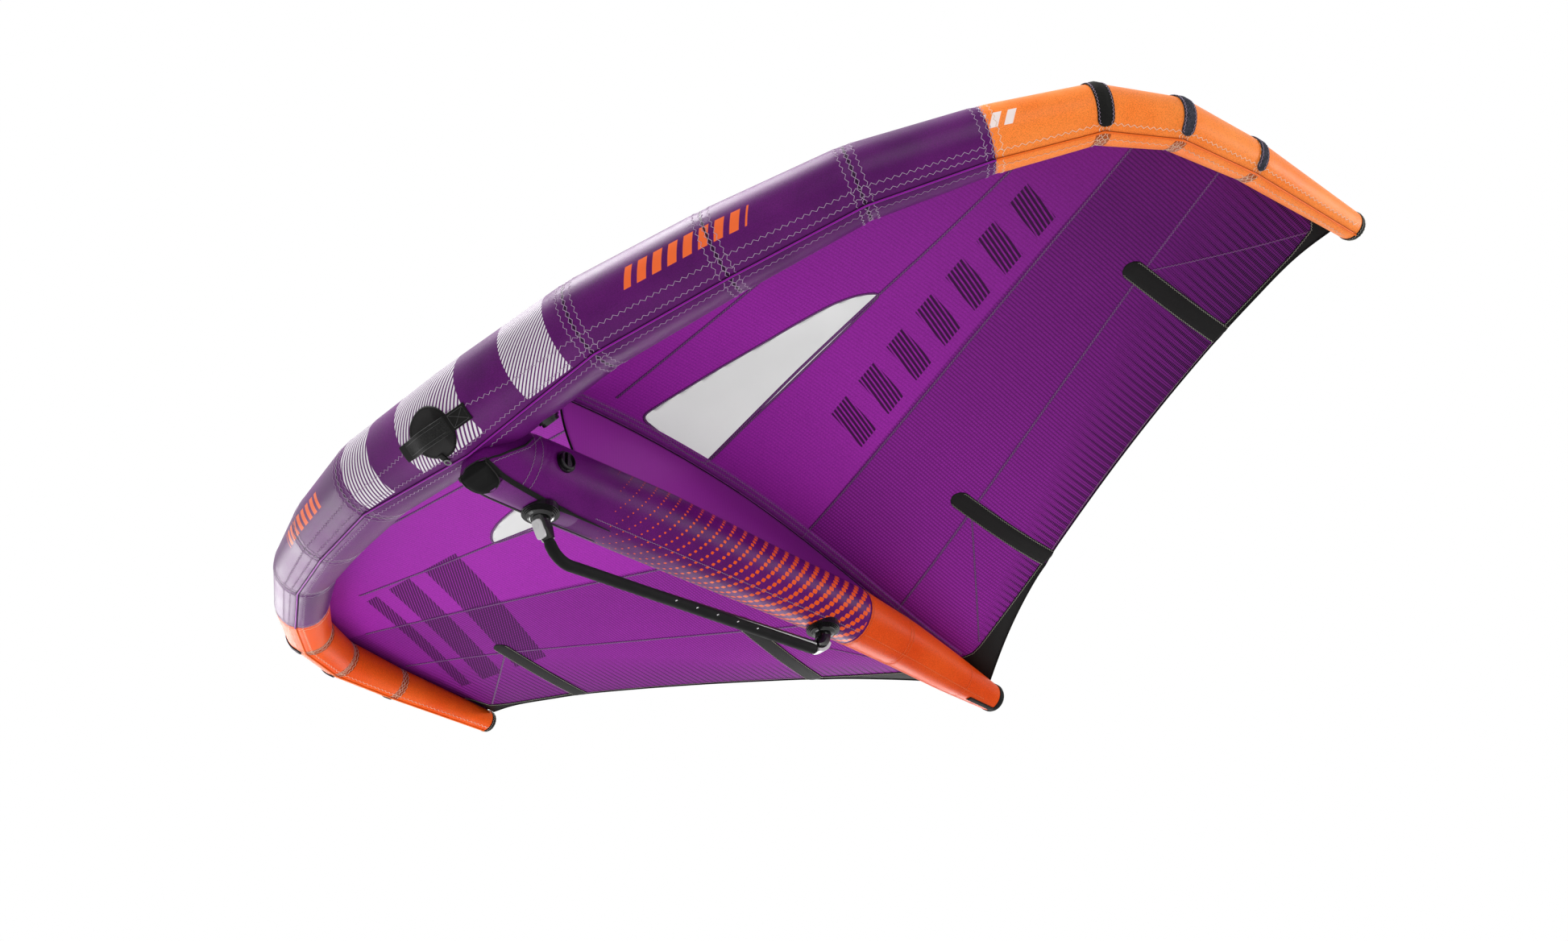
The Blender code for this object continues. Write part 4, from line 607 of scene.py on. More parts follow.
def dacron(name, deep, pale, prints=None, specular=0.14):
    """Woven polyester sailcloth, calendered: a fine even weave under a slight resin shine.

    The threads are really 0.4 mm apart, and are drawn at 2.2 mm to show.
    """
    mat, tree, bsdf = begin(name, 0.36, specular)
    uv, place = put(tree, "TexCoord", out=2), put(tree, "TexCoord", out=3)
    cloud = put(tree, "TexNoise", {"Vector": place, "Scale": 5.0, "Detail": 3.0,
                                   "Roughness": 0.55})
    grain = put(tree, "TexNoise", {"Vector": place, "Scale": 420.0, "Detail": 2.0,
                                   "Roughness": 0.6})
    tone = put(tree, "MapRange", (cloud, 0.3, 0.7))
    base = put(tree, "Mix", {0: tone, 6: deep, 7: pale}, **RGBA)
    base = speckled(tree, base, grain, 0.35, 0.65, 0.80, 1.16)
    if prints:
        base = prints(tree, uv, base)
    lumps = weighted(tree, (weave(tree, uv, 0.0022), 1), (grain, 1))
    rough = put(tree, "MapRange", (cloud, 0.3, 0.7, 0.31, 0.41))
    connect(bsdf, base, lumps, 0.30, 0.0004, rough)
    return mat


# Prints on the tubes, in metres: turn as length round the tube, along as length across the
# span or back from the nose. A lean is how far a print moves along for each metre of turn.
HATCHED_BANDS = ((-0.384, -0.268, 0.25), (-0.145, 0.078, 0.73), (0.215, 0.350, 1.25))
HATCH_PITCH, HATCH_SHARE = 0.0118, 0.56
DASH_HEIGHT, DASH_LEAN, DASH_COLUMN = 0.0135, 0.74, 0.0425


def slanted_bars(tree, size, turn, lean, run, height, pitch, share):
    """A row of bars that lean against the turn, on a run of the length and of the turn."""
    bars = weighted(tree, (size, 1), (turn, -lean))
    return all_of(tree, band(tree, bars, *run), band(tree, turn, *height),
                  stripes(tree, bars, pitch, share, 0.02))


def kink_bands(tree, size, widths):
    """Bands round the tube at stations, each with half its width."""
    return any_of(tree, *[band(tree, size, LE_LENGTHS[k] - half, LE_LENGTHS[k] + half)
                          for k, half in widths])


def leading_edge_prints(tree, uv, base):
    """White hatched bands round the middle panels, orange bars beside them, dark kink seams."""
    turn, along, _ = put(tree, "SeparateXYZ", (uv,)).node.outputs
    for low, high, lean in HATCHED_BANDS:
        hatch = weighted(tree, (along, 1), (turn, -lean))
        white = all_of(tree, band(tree, along, low, high),
                       stripes(tree, hatch, HATCH_PITCH, HATCH_SHARE, 0.05),
                       band(tree, turn, 0.0215, 0.250))
        base = put(tree, "Mix", {0: white, 6: base, 7: "#d9d6da"}, **RGBA)
    size = put(tree, "Math", (along,), operation="ABSOLUTE")
    bars = slanted_bars(tree, size, turn, 0.45, (0.500, 0.800), (0.104, 0.150), 0.0375, 0.60)
    base = put(tree, "Mix", {0: bars, 6: base, 7: "#ef6a34"}, **RGBA)
    seams = kink_bands(tree, size, ((1, 0.0022), (2, 0.0022), (3, 0.0022)))
    return put(tree, "Mix", {0: seams, 6: base, 7: "#1f0a23"}, **RGBA)


def strut_prints(tree, uv, base):
    """Orange dashes in leaning columns round the strut, growing from dots towards the tail."""
    turn, along, _ = put(tree, "SeparateXYZ", (uv,)).node.outputs
    row, high = nearest(tree, turn, DASH_HEIGHT)
    shifted = weighted(tree, (along, 1), (row, -DASH_HEIGHT * DASH_LEAN))
    wide = weighted(tree, (nearest(tree, shifted, DASH_COLUMN)[1], 1), (high, -0.10))
    tall = put(tree, "MapRange", (along, 0.40, 1.05, 0.22, 1.0))
    thick = put(tree, "MapRange", (along, 0.40, 1.20, 0.18, 1.0))
    parts = []
    for off, half, grow in ((high, 0.0062, tall), (wide, 0.0092, thick)):
        off = put(tree, "Math", (off, all_of(tree, grow, half)), operation="DIVIDE")
        off = put(tree, "Math", (off,), operation="ABSOLUTE")
        parts.append((put(tree, "Math", (off, 4.0), operation="POWER"), 1))
    dashes = all_of(tree, band(tree, weighted(tree, *parts), -9.0, 1.0, 0.12),
                    band(tree, along, 0.395, 1.362, 0.003))
    return put(tree, "Mix", {0: dashes, 6: base, 7: "#e2541c"}, **RGBA)


def tip_prints(tree, uv, base):
    """White slanted bars on the first orange panel and darker cloth bands under the kinks."""
    turn, along, _ = put(tree, "SeparateXYZ", (uv,)).node.outputs
    size = put(tree, "Math", (along,), operation="ABSOLUTE")
    bars = slanted_bars(tree, size, turn, 0.40, (1.330, 1.425), (0.112, 0.160), 0.033, 0.58)
    base = put(tree, "Mix", {0: bars, 6: base, 7: "#f3e3df"}, **RGBA)
    kinks = kink_bands(tree, size, ((5, 0.019), (6, 0.017), (7, 0.015)))
    below = any_of(tree, band(tree, turn, -0.60, 0.012), band(tree, turn, 0.33, 0.60))
    kinks = all_of(tree, kinks, below, 0.75)
    return put(tree, "Mix", {0: kinks, 6: base, 7: "#7c2f12"}, **RGBA)


# Where the rear panel of the canopy starts on the centre plane, and the pitch of its halftone
REAR_PANEL_START, HALFTONE_PITCH = 1.187, 0.0200


def ripstop(name, bright, deep, dark):
    """Canopy polyester: thin cloth, a grid of heavier threads, a dark dash print to the rear, and
    painted shade that darkens it from the strut out towards the tips.

    The grid is really 5 mm wide, and is drawn at about twice that to show.
    """
    mat, tree, bsdf = begin(name, 0.50, 0.05)
    place = put(tree, "TexCoord", out=3)
    x, ahead, _ = put(tree, "SeparateXYZ", (put(tree, "TexCoord", out=2),)).node.outputs
    y = put(tree, "SeparateXYZ", (place,), out=1)
    out = put(tree, "Math", (x,), operation="ABSOLUTE")
    cloud = put(tree, "TexNoise", {"Vector": place, "Scale": 2.6, "Detail": 3.0})
    # Painted shade: the cloth turns from the bright tone to the deep one from the strut out to the
    # right tip, and less so towards the left tip, as the light falls off; the cloud adds random
    # tone and the rear panel is a darker cloth.
    right = put(tree, "MapRange", (x, 0.15, 1.35))
    left = put(tree, "MapRange", (x, -0.2, -1.5, 0.0, 0.35))
    rear = band(tree, weighted(tree, (y, 1), (out, 0.27)), REAR_PANEL_START + DATUM[1], 9.0, 0.002)
    shade = weighted(tree, (any_of(tree, right, left), 1), (cloud, 0.30), (rear, 0.34))
    shade = put(tree, "MapRange", (shade, 0.10, 1.55))
    base = put(tree, "Mix", {0: shade, 6: bright, 7: deep}, **RGBA)
    grain = put(tree, "TexNoise", {"Vector": place, "Scale": 300.0, "Detail": 2.0})
    base = speckled(tree, base, grain, 0.3, 0.7, 0.82, 1.16)

    lines, cross = stripes(tree, x, 0.0100, 0.34, 0.12), stripes(tree, y, 0.0085, 0.26, 0.12)
    near = put(tree, "MapRange", (out, 0.1, 1.1, 0.95, 0.2))
    grid = any_of(tree, lines, all_of(tree, cross, near))
    strength = put(tree, "MapRange", (rear, 0.0, 1.0, 0.22, 0.62))
    start = put(tree, "MapRange", (out, 0.4, 1.55, 0.12, 0.37))
    grow = put(tree, "Math", (ahead, start), operation="DIVIDE")
    clear = put(tree, "MapRange", (grow, 0.2, 1.0, 0.45, 1.0))
    grid = all_of(tree, grid, strength, clear)
    base = put(tree, "Mix", {0: grid, 6: base, 7: dark}, **RGBA)

    share = put(tree, "MapRange", (grow, 0.0, 1.0, 0.62, 0.0))
    moved = weighted(tree, (x, 1), (HALFTONE_PITCH / 2, 1))
    between = stripes(tree, moved, HALFTONE_PITCH, all_of(tree, share, 0.30), 0.03)
    rows = any_of(tree, stripes(tree, x, HALFTONE_PITCH, share, 0.03), between)
    rows = all_of(tree, rows, stripes(tree, ahead, 0.0060, 0.70, 0.08),
                  band(tree, grow, -1.0, 0.96, 0.02), 0.96)
    base = put(tree, "Mix", {0: rows, 6: base, 7: "#1e0a22"}, **RGBA)
    base = canopy_bars(tree, x, y, base)
    connect(bsdf, base, weighted(tree, (lines, 1), (cross, 1)), 0.25, 0.0003)
    return mat


def canopy_bars(tree, x, y, base):
    """Slanted hatched bars: a row of dark ones on the right half, softer broad ones on the left."""
    along = weighted(tree, (x, 0.966), (y, -0.258))
    across = weighted(tree, (x, 0.258), (y, 0.966))
    slanted = weighted(tree, (along, 1), (across, 0.45))
    fine = stripes(tree, weighted(tree, (x, 1), (y, 0.25)), 0.0120, 0.62, 0.05)
    dark = all_of(tree, band(tree, across, 0.238, 0.372), band(tree, slanted, 0.41, 1.34),
                  stripes(tree, slanted, 0.134, 0.56, 0.005), fine, 0.9)
    base = put(tree, "Mix", {0: dark, 6: base, 7: "#230b28"}, **RGBA)
    left = weighted(tree, (x, -1.0), (y, -0.45))
    broad = any_of(tree, *[band(tree, left, low, high)
                           for low, high in ((0.93, 1.08), (1.15, 1.25), (1.31, 1.36))])
    thin = stripes(tree, weighted(tree, (x, 1), (y, 0.9)), 0.0110, 0.74, 0.06)
    soft = all_of(tree, broad, thin, band(tree, y, -0.12, 0.46), 0.9)
    return put(tree, "Mix", {0: soft, 6: base, 7: "#38103e"}, **RGBA)


def plain_cloth(name, deep, pale, roughness, pitch, strength=0.5, specular=0.15):
    """Woven cloth, webbing or thread: crossing threads a pitch apart over a mottled colour."""
    mat, tree, bsdf = begin(name, roughness, specular)
    place = put(tree, "TexCoord", out=3)
    grain = put(tree, "TexNoise", {"Vector": place, "Scale": 1 / pitch / 2, "Detail": 4.0,
                                   "Roughness": 0.65})
    threads = weave(tree, place, pitch)
    tone = all_of(tree, put(tree, "MapRange", (grain, 0.35, 0.65)), threads)
    base = put(tree, "Mix", {0: tone, 6: deep, 7: pale}, **RGBA)
    connect(bsdf, base, threads, strength, pitch / 4)
    return mat


def web_cloth(name, near, far):
    """Thin canopy cloth with painted light: bright at its open front end, as if lit through from
    the side, and darker to the rear, where it is in shade.
    """
    mat, tree, bsdf = begin(name, 0.5, 0.15)
    place = put(tree, "TexCoord", out=3)
    # Painted light: the colour runs from the bright near tone at the front to the darker far tone
    # at the rear.
    back = put(tree, "MapRange", (put(tree, "SeparateXYZ", (place,), out=1), -0.45, 0.40))
    base = put(tree, "Mix", {0: back, 6: near, 7: far}, **RGBA)
    connect(bsdf, speckled(tree, base, weave(tree, place, 0.0060), 0.0, 1.0, 0.92, 1.06))
    return mat


def moulded(name, deep, pale, roughness, scale=900.0, strength=0.08, specular=0.5, **shader):
    """An even material with the faint texture of its mould or of how it was drawn."""
    mat, tree, bsdf = begin(name, roughness, specular, **shader)
    place = put(tree, "TexCoord", out=3)
    grain = put(tree, "TexNoise", {"Vector": place, "Scale": scale, "Detail": 3.0})
    cloud = put(tree, "TexNoise", {"Vector": place, "Scale": 18.0, "Detail": 2.0})
    base = put(tree, "Mix", {0: cloud, 6: deep, 7: pale}, **RGBA)
    rough = put(tree, "MapRange", (cloud, 0.0, 1.0, roughness * 0.8, roughness * 1.2))
    connect(bsdf, base, grain, strength, 0.0003, rough)
    return mat


def window_film(name, tint):
    """Clear polyurethane film, gone slightly milky: light from behind comes through evenly."""
    mat, tree, bsdf = begin(name, 0.35, 0.5, Transmission_Weight=0.75, IOR=1.10)
    place = put(tree, "TexCoord", out=3)
    cloud = put(tree, "TexNoise", {"Vector": place, "Scale": 3.0, "Detail": 2.0})
    tone = put(tree, "MapRange", (cloud, 0.3, 0.7))
    connect(bsdf, put(tree, "Mix", {0: tone, 6: tint, 7: "#e8e8e8"}, **RGBA))
    return mat


MATERIALS = {}


def make_materials(look):
    # Sailcloth: even, with a low shine along the tubes
    for key, name, deep, pale, prints, specular in (
            ("le", "purple_calendered", look.tube_deep, look.tube_pale, leading_edge_prints, 0.14),
            ("strut", "purple_dashed", look.tube_deep, look.tube_pale, strut_prints, 0.08),
            ("pad", "purple_pad", "#4e1257", "#651c6e", None, 0.24),
            # Painted light: both tips are one orange cloth; the left is a deeper, redder copy that
            # stands for its shade, the right a paler, yellower copy that stands for its light.
            ("tip_left", "orange_barred_left", look.shaded_left_deep, look.shaded_left_pale, tip_prints, 0.05),
            ("tip_right", "orange_barred_right", look.lit_right_deep, look.lit_right_pale, tip_prints,
             0.12),
            ("tail", "orange_calendered", look.tail_deep, look.tail_pale, None, 0.06)):
        MATERIALS[key] = dacron("dacron_" + name, deep, pale, prints, specular)
    MATERIALS.update(
        canopy=ripstop("ripstop_polyester_purple", look.canopy_lit_tone, look.canopy_shade_and_rear_tone,
                       "#2c0d34"),
        web=web_cloth("web_polyester_purple", "#b03bb8", "#8d2796"),
        film=window_film("polyurethane_window_film", "#dcdcdc"),
        # Moulded, foamed and drawn: black parts that catch one soft light, bright small ones
        gloss_soft=moulded("rubber_satin_black", "#030303", "#080808", 0.50, 700.0, 0.2, 0.07),
        gloss=moulded("nylon_gloss_black", "#080808", "#111111", 0.20),
        foam=moulded("eva_foam_black", "#060606", "#0f0f0f", 0.80, 1400.0, 0.7, 0.2),
        mark=moulded("printed_mark_white", "#dadada", "#ececec", 0.5),
        carbon=moulded("carbon_tube_lacquered", "#0c0c0d", "#1a1a1c", 0.3),
        grey=moulded("nylon_grey_satin", "#b4b4b4", "#c6c6c6", 0.42),
        steel=moulded("spring_steel_drawn", "#a8a8aa", "#c2c2c4", 0.28, Metallic=1.0),
        glass=moulded("fibreglass_pultruded", "#b9bda6", "#d0d3c0", 0.4),
        floor=moulded("studio_floor_painted", "#efefef", "#f5f5f5", 0.7),
    )
    # Tapes, webbing, felt and thread: matt and fibrous. The pitch is in metres, and for thread
    # it is coarser than the real 0.2 mm so that it shows.
    for key, name, deep, pale, roughness, pitch, *more in (
            ("seam", "seam_overlap_purple", "#5c1a66", "#712380", 0.6, 0.0016),
            # Painted light: the centre band's purple is brighter than the seams' to lift the shade
            # in the corner between web and canopy.
            ("band", "centre_band_purple", "#7f2489", "#9a34a5", 0.55, 0.0040, 0.3),
            ("welt", "piping_cord_purple", "#7d0f8a", "#9c1fa8", 0.45, 0.0012),
            ("welt_orange", "piping_cord_orange", "#e8641c", "#ff8a2c", 0.45, 0.0012),
            ("black", "polyester_webbing_black", "#0d0d0c", "#1d1c1b", 0.75, 0.0018),
            # Painted highlight: the lip's grey is paler than the black laminate to show the light
            # along its rim.
            ("lip", "laminate_edge_grey", "#1b1a19", "#2b2928", 0.6, 0.0030, 0.3),
            ("patch", "laminate_cloth_black", "#0c0b0b", "#181616", 0.6, 0.0030, 0.3),
            ("strap", "scuff_felt_grey", "#23232c", "#5a5a68", 0.95, 0.0032, 0.9),
            ("neoprene", "neoprene_jersey_black", "#1a1a1a", "#353534", 0.85, 0.0022, 0.6),
            ("cord", "braided_cord_grey", "#6f6f6f", "#a5a5a5", 0.8, 0.0014, 0.8),
            ("thread", "bonded_thread_pale", "#b096b4", "#d2c0d4", 0.4, 0.0010, 0.5, 0.45),
            ("thread_grey", "bonded_thread_grey", "#8f7b92", "#b09cb2", 0.5, 0.0010, 0.5, 0.3),
            ("thread_cream", "bonded_thread_cream", "#a9a89b", "#c9c8bb", 0.6, 0.0010),
            ("thread_orange", "bonded_thread_peach", "#f8d8bc", "#fff0de", 0.6, 0.0010),
            ("thread_tail", "bonded_thread_orange", "#e06c38", "#f0885a", 0.6, 0.0010),
            ("thread_dark", "bonded_thread_charcoal", "#3d3d3d", "#5c5c5c", 0.6, 0.0010),
            # Painted shadow: a brown strip in front of the orange piping.
            ("shadow_orange", "seam_edge_brown", "#8a3610", "#a34818", 0.6, 0.0012)):
        MATERIALS[key] = plain_cloth(name, deep, pale, roughness, pitch, *more)


# Stitches: the length of a zigzag's period, its swing to each side and the thread's width
TUBE_STITCH = (0.017, 0.0030, 0.0016)
EDGE_STITCH = (0.018, 0.0034, 0.0016)
KINK_STITCH = (0.017, 0.0028, 0.0016)
SEAM_STITCH = (0.009, 0.0022, 0.0013)
STRAP_STITCH = (0.009, 0.0018, 0.0012)
NOSE_STITCH = (0.010, 0.0012, 0.0012)
RING_STITCH = (0.010, 0.0010, 0.0012)
STRUT_STITCH = (0.0085, 0.0011, 0.0012)
WINDOW_STITCH = (0.007, 0.0016, 0.0013)
BATTEN_STITCH = (0.0085, 0.0016, 0.0012)
PATCH_STITCH = (0.0085, 0.0016, 0.0013)
REAR_STITCH = (0.0085, 0.0012, 0.0011)
DISC_STITCH = (0.007, 0.0014, 0.0010)


# Leading edge

UV_RADIUS = 0.1
LE_SIDES = 120
STRAP_WIDTHS = (0.040, 0.034, 0.028)
STRAP_TURNS = (math.radians(12), math.radians(168))
STRAP_THICK, STRAP_LIFT, STRAP_CROWN, STRAP_HEM = 0.0022, 0.0012, 0.0004, 0.0035
RING_STEPS = 24
# A cap's depth, and its profile in shares of the depth and of the tube's width
TIP_CAP_DEPTH = 0.030
TIP_CAP_PROFILE = ((0, 1.0), (0.06, 1.035), (0.30, 1.035), (0.48, 0.985), (0.66, 0.90),
                   (0.80, 0.76), (0.90, 0.55), (0.97, 0.30), (0.995, 0.12))
PIPING_RADIUS, PIPING_LIFT, PIPING_GAP = 0.0026, 0.0015, 0.002
STRIP_THICK, STRIP_LIFT = 0.0006, 0.0005
# Rows of stitches: off the piping; off each kink, with a phase; and below the canopy's edge
PIPING_ROW = 0.021
KINK_ROWS = ((-0.019, 0), (-0.003, 0), (0.003, 1), (0.019, 0))
KINK_ROW_SHARE = 0.62
CANOPY_ROW_STATIONS, CANOPY_ROW_TURNS = (0, 0.25, 0.55, 1.0, 4.0), (1.02, 0.78, 0.62, 0.50, 0.48)


def near_ring(s, width):
    """How close a station is to a kink seam, from 0 to 1, for a width in metres."""
    at = by_station(s, LE_LENGTHS)
    return np.exp(-((at[..., None] - LE_LENGTHS[1:TIP]) / width) ** 2).sum(-1)


def le_surface(s, turn, lift=0.0):
    """The inflated skin: drawn in a little along every seam, with short puckers beside it."""
    s, turn = spread(s, turn)
    off = np.abs((turn - seam_turn(s) + math.pi) % math.tau - math.pi) * UV_RADIUS
    welt = np.exp(-(off / 0.010) ** 2)
    pucker = np.sin(turn * 19 + np.sin(turn * 7) * 2) * near_ring(s, 0.030)
    ripple = np.sin(s * 38 + np.sin(s * 9) * 3) * np.exp(-((off - 0.018) / 0.02) ** 2)
    dent = 0.0018 * near_ring(s, 0.014) + 0.0008 * welt
    return le_skin(s, turn, lift - dent + 0.0002 * pucker + 0.0004 * ripple)


def le_rows(first, last):
    """Stations of a part's rings: even steps, with closer ones beside each kink."""
    near = np.array((0.003, 0.007, 0.012, 0.018, 0.026, 0.037))
    kinks = LE_LENGTHS[:, None]
    at = np.concatenate((LE_LENGTHS, (kinks + near).ravel(), (kinks - near).ravel()))
    even = np.linspace(0, LE_LENGTHS[-1], 130)
    even = even[np.abs(even[:, None] - at).min(axis=1) > 0.005]
    s = station_of(np.unique(np.concatenate((at, even)).clip(0, LE_LENGTHS[-1])))
    s = np.unique(np.concatenate((-s, s)))
    low, high = sorted((first, last))
    s = np.concatenate(((low,), s[(s > low + 0.004) & (s < high - 0.004)], (high,)))
    return s if first < last else s[::-1]


def le_part(name, first, last, material):
    """A length of the tube; its UV is metres round a 100 mm tube and metres across the span."""
    s = le_rows(first, last)[:, None]
    turn = seam_turn(s) + math.tau * (np.arange(LE_SIDES + 1) / LE_SIDES - 0.375)
    s, turn = spread(s, turn)
    uv = np.stack((turn * UV_RADIUS, by_station(s, LE_LENGTHS) * np.sign(s)), axis=-1)
    return tube(name, le_surface(s, turn)[:, :-1], material, uv=uv)


def le_path(s, off):
    """A path on the tube at a turn from the piping, and the way out along it."""
    turn = seam_turn(s) + off
    return le_surface(s, turn), on_skin(le_skin, s, turn)[1]


def make_leading_edge():
    middle = le_part("leading_edge_tube", -COLOUR_STATION, COLOUR_STATION, MATERIALS["le"])
    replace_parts(middle, "le_casing", "le_bladder")
    for side, word in SIDES:
        first = side * (COLOUR_STATION + 0.0008)
        part = le_part("leading_edge_tip_" + word, first, side * TIP, MATERIALS["tip_" + word])
        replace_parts(part, "le_tip_casing_" + word)
        make_tip_cap(side, word)
        make_tip_straps(side, word)
    make_piping()
    make_leading_edge_stitches()


def cap_rings(centre, ring, way, depth, profile):
    """Rings of a rounded cap over an end; the profile has shares of the depth and the width."""
    return [mix(centre, ring, size) + way * (GAP + depth * out) for out, size in profile]


def make_tip_cap(side, word):
    """A cap of black cloth over the end, with a rolled edge."""
    centre = mirrored(LE_CENTRES[TIP], side)
    way = mirrored(unit(LE_CENTRES[TIP] - LE_CENTRES[TIP - 1]), side)
    ring = le_skin(side * TIP, turns_round(48))
    rings = cap_rings(centre, ring, way, TIP_CAP_DEPTH, TIP_CAP_PROFILE)
    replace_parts(tube("tip_cap_" + word, rings, MATERIALS["black"]), "le_tip_cap_" + word)
    thread = Thread()
    for out, size in ((0.16, 1.04), (0.55, 0.97)):
        path = mix(centre, np.concatenate((ring, ring[:1])), size) + way * (TIP_CAP_DEPTH * out)
        thread.zigzag(path, unit(path - centre), *SEAM_STITCH)
    thread.piece("tip_cap_stitches_" + word, MATERIALS["thread_cream"])


def make_tip_straps(side, word):
    """Three scuff straps over the kinks, round at both ends, stitched near their edges."""
    t = np.linspace(0, 1, 49)
    turn = PIPING_TURN + mix(*STRAP_TURNS, t)
    for k, width in enumerate(STRAP_WIDTHS):
        station = COLOUR_STATION + 1 + k
        run = LE_RADII[station] * (turn[-1] - turn[0])
        end = np.minimum(t, 1 - t) * run
        half = round_end(end, width / 2, 0.02)
        grid = np.stack([le_skin(station_of(LE_LENGTHS[station] + half * col) * side, turn,
                                 GAP * 2 + STRAP_LIFT + STRAP_CROWN * (1 - col ** 2))
                         for col in np.linspace(-1, 1, 9)], axis=1)
        strap = "tip_strap_" + word + "_" + str(k + 1)
        piece = cloth(strap + "_webbing", grid, STRAP_THICK,
                      MATERIALS["strap" if k else "black"])
        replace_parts(piece, strap)
        thread = Thread()
        for edge in (-1, 1):
            s = station_of(LE_LENGTHS[station] + edge * (half - STRAP_HEM)) * side
            path, out = on_skin(le_skin, s, turn, GAP * 2 + 0.0025)
            thread.zigzag(path[end > 0.006], out[end > 0.006], *STRAP_STITCH)
        thread.piece("tip_strap_stitches_" + word + "_" + str(k + 1), MATERIALS["thread"])


def make_piping():
    """A corded welt along the lower seam, a black flap strip behind it, and thin dark strips in
    front of it that are the welt's painted shadow.
    """
    for name, a, b, material in (("piping_middle", -COLOUR_STATION, COLOUR_STATION, "welt"),
                                 ("piping_left", -TIP, -COLOUR_STATION - PIPING_GAP, "welt_orange"),
                                 ("piping_right", COLOUR_STATION + PIPING_GAP, TIP, "welt_orange")):
        s = np.linspace(round(a), round(b), abs(round(b) - round(a)) * RING_STEPS + 1)
        s[0], s[-1] = a, b
        path = le_skin(s, seam_turn(s), PIPING_LIFT)
        rings = rings_along(path, PIPING_RADIUS, 12, up=le_path(s, 0.0)[1])
        piece = tube(name, rings, MATERIALS[material])
        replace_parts(piece, "le_piping")
    middle, tip = 2 * COLOUR_STATION * RING_STEPS + 1, (TIP - COLOUR_STATION) * RING_STEPS + 1
    for name, a, b, rows, offsets, material in (
            # The front strips, black in the middle and brown at the tips, are the welt's painted
            # shadow; the rear strip is the black flap sewn under it.
            ("piping_strip_front", -COLOUR_STATION, COLOUR_STATION, middle,
             (0.0022, 0.0030, 0.0040), "black"),
            ("piping_strip_rear", -COLOUR_STATION, COLOUR_STATION, middle,
             (-0.0026, -0.0038, -0.0052), "black"),
            ("tip_piping_strip_left", -TIP, -COLOUR_STATION - 0.01, tip,
             (0.0018, 0.0026, 0.0034), "shadow_orange"),
            ("tip_piping_strip_right", COLOUR_STATION + 0.01, TIP, tip,
             (0.0018, 0.0026, 0.0034), "shadow_orange")):
        s = np.linspace(a, b, rows)
        grid = np.stack([le_skin(s, seam_turn(s) + off / by_station(s, LE_RADII), STRIP_LIFT)
                         for off in offsets], axis=1)
        cloth(name, grid, STRIP_THICK, MATERIALS[material])


def make_leading_edge_stitches():
    """Rows beside the piping, along the canopy's seam and in four rings round every kink."""
    thread, orange = Thread(), Thread()
    for target, a, b in ((thread, -COLOUR_STATION, COLOUR_STATION),
                         (orange, -TIP, -COLOUR_STATION - 0.02),
                         (orange, COLOUR_STATION + 0.02, TIP - 0.05)):
        s = np.linspace(a, b, int(abs(b - a) * 60) + 1)
        for off in (-PIPING_ROW, PIPING_ROW):
            target.zigzag(*le_path(s, off / by_station(s, LE_RADII)), *TUBE_STITCH)
    s = np.linspace(0.0, 3.96, 220)
    rise = np.interp(s, CANOPY_ROW_STATIONS, CANOPY_ROW_TURNS)
    turn = np.linspace(0, math.tau, 200)
    for side, _ in SIDES:
        thread.zigzag(*le_path(s * side, rise), *EDGE_STITCH)
    for side, _ in SIDES:
        for station in range(1, TIP):
            for metres, phase in KINK_ROWS:
                middle = station < COLOUR_STATION or (station == COLOUR_STATION and metres < 0.01)
                if station > COLOUR_STATION and abs(metres) > 0.01:
                    metres *= KINK_ROW_SHARE
                ring = np.full(200, side * station_of(LE_LENGTHS[station] + metres))
                target = thread if middle else orange
                target.zigzag(*le_path(ring, turn), *KINK_STITCH, phase=phase)
    thread.piece("leading_edge_stitches", MATERIALS["thread"])
    orange.piece("tip_stitches", MATERIALS["thread_orange"])


# Strut

NOSE_TURNS = np.radians((0, 20, 35, 44, 51, 56, 68, 77, 88, 106, 137, 180))
NOSE_PLACES = (0.004, 0.005, 0.010, 0.013, 0.022, 0.032, 0.052, 0.071, 0.093, 0.115, 0.153, 0.170)
NOSE_RUN = 0.19
FLAP_SHARES = (1.0, 0.75, 0.5, 0.25, 0.08)
STRUT_COLOUR_PLACE = STRUT_PLACES[STRUT_COLOUR_STATION]
STRUT_SEAMS = (0.124, 0.147, STRUT_COLOUR_PLACE, 1.55, 1.85)
TAPE_PLACES = (0.012, 0.040, 0.060, 0.100, 0.143, 0.200, 0.260, 0.330, 0.420)
TAPE_TURNS = np.radians((37, 33, 30, 27, 24.5, 21.5, 19.5, 18, 17))
TAPE_WIDTH = 0.013
PATCH_PLACES = (0.004, 0.020, 0.045, 0.058, 0.066, 0.072, 0.0755)
PATCH_TURNS = np.radians((41, 38, 32, 27, 21, 12, 3))
PATCH_THICK, PATCH_BEND, LIP_RADIUS = 0.0036, 0.30, 0.0016
END_CAP_DEPTH = 0.036
END_CAP_PROFILE = ((0, 1.0), (0.05, 1.03), (0.42, 1.02), (0.62, 0.94), (0.80, 0.78),
                   (0.92, 0.58), (0.98, 0.36), (1, 0.12))
TAB_START, TAB_HALF, TAB_THICK = 1.890, 0.008, 0.0018
PAD_THICK, PAD_LIFT, PAD_CROWN, PAD_SUNK = 0.0012, 0.0026, 0.0016, 0.0012


def nose_start(turn):
    """Where the strut's skin begins at a turn: the line along which it is sewn on."""
    return np.interp(np.abs(turn), NOSE_TURNS, NOSE_PLACES)


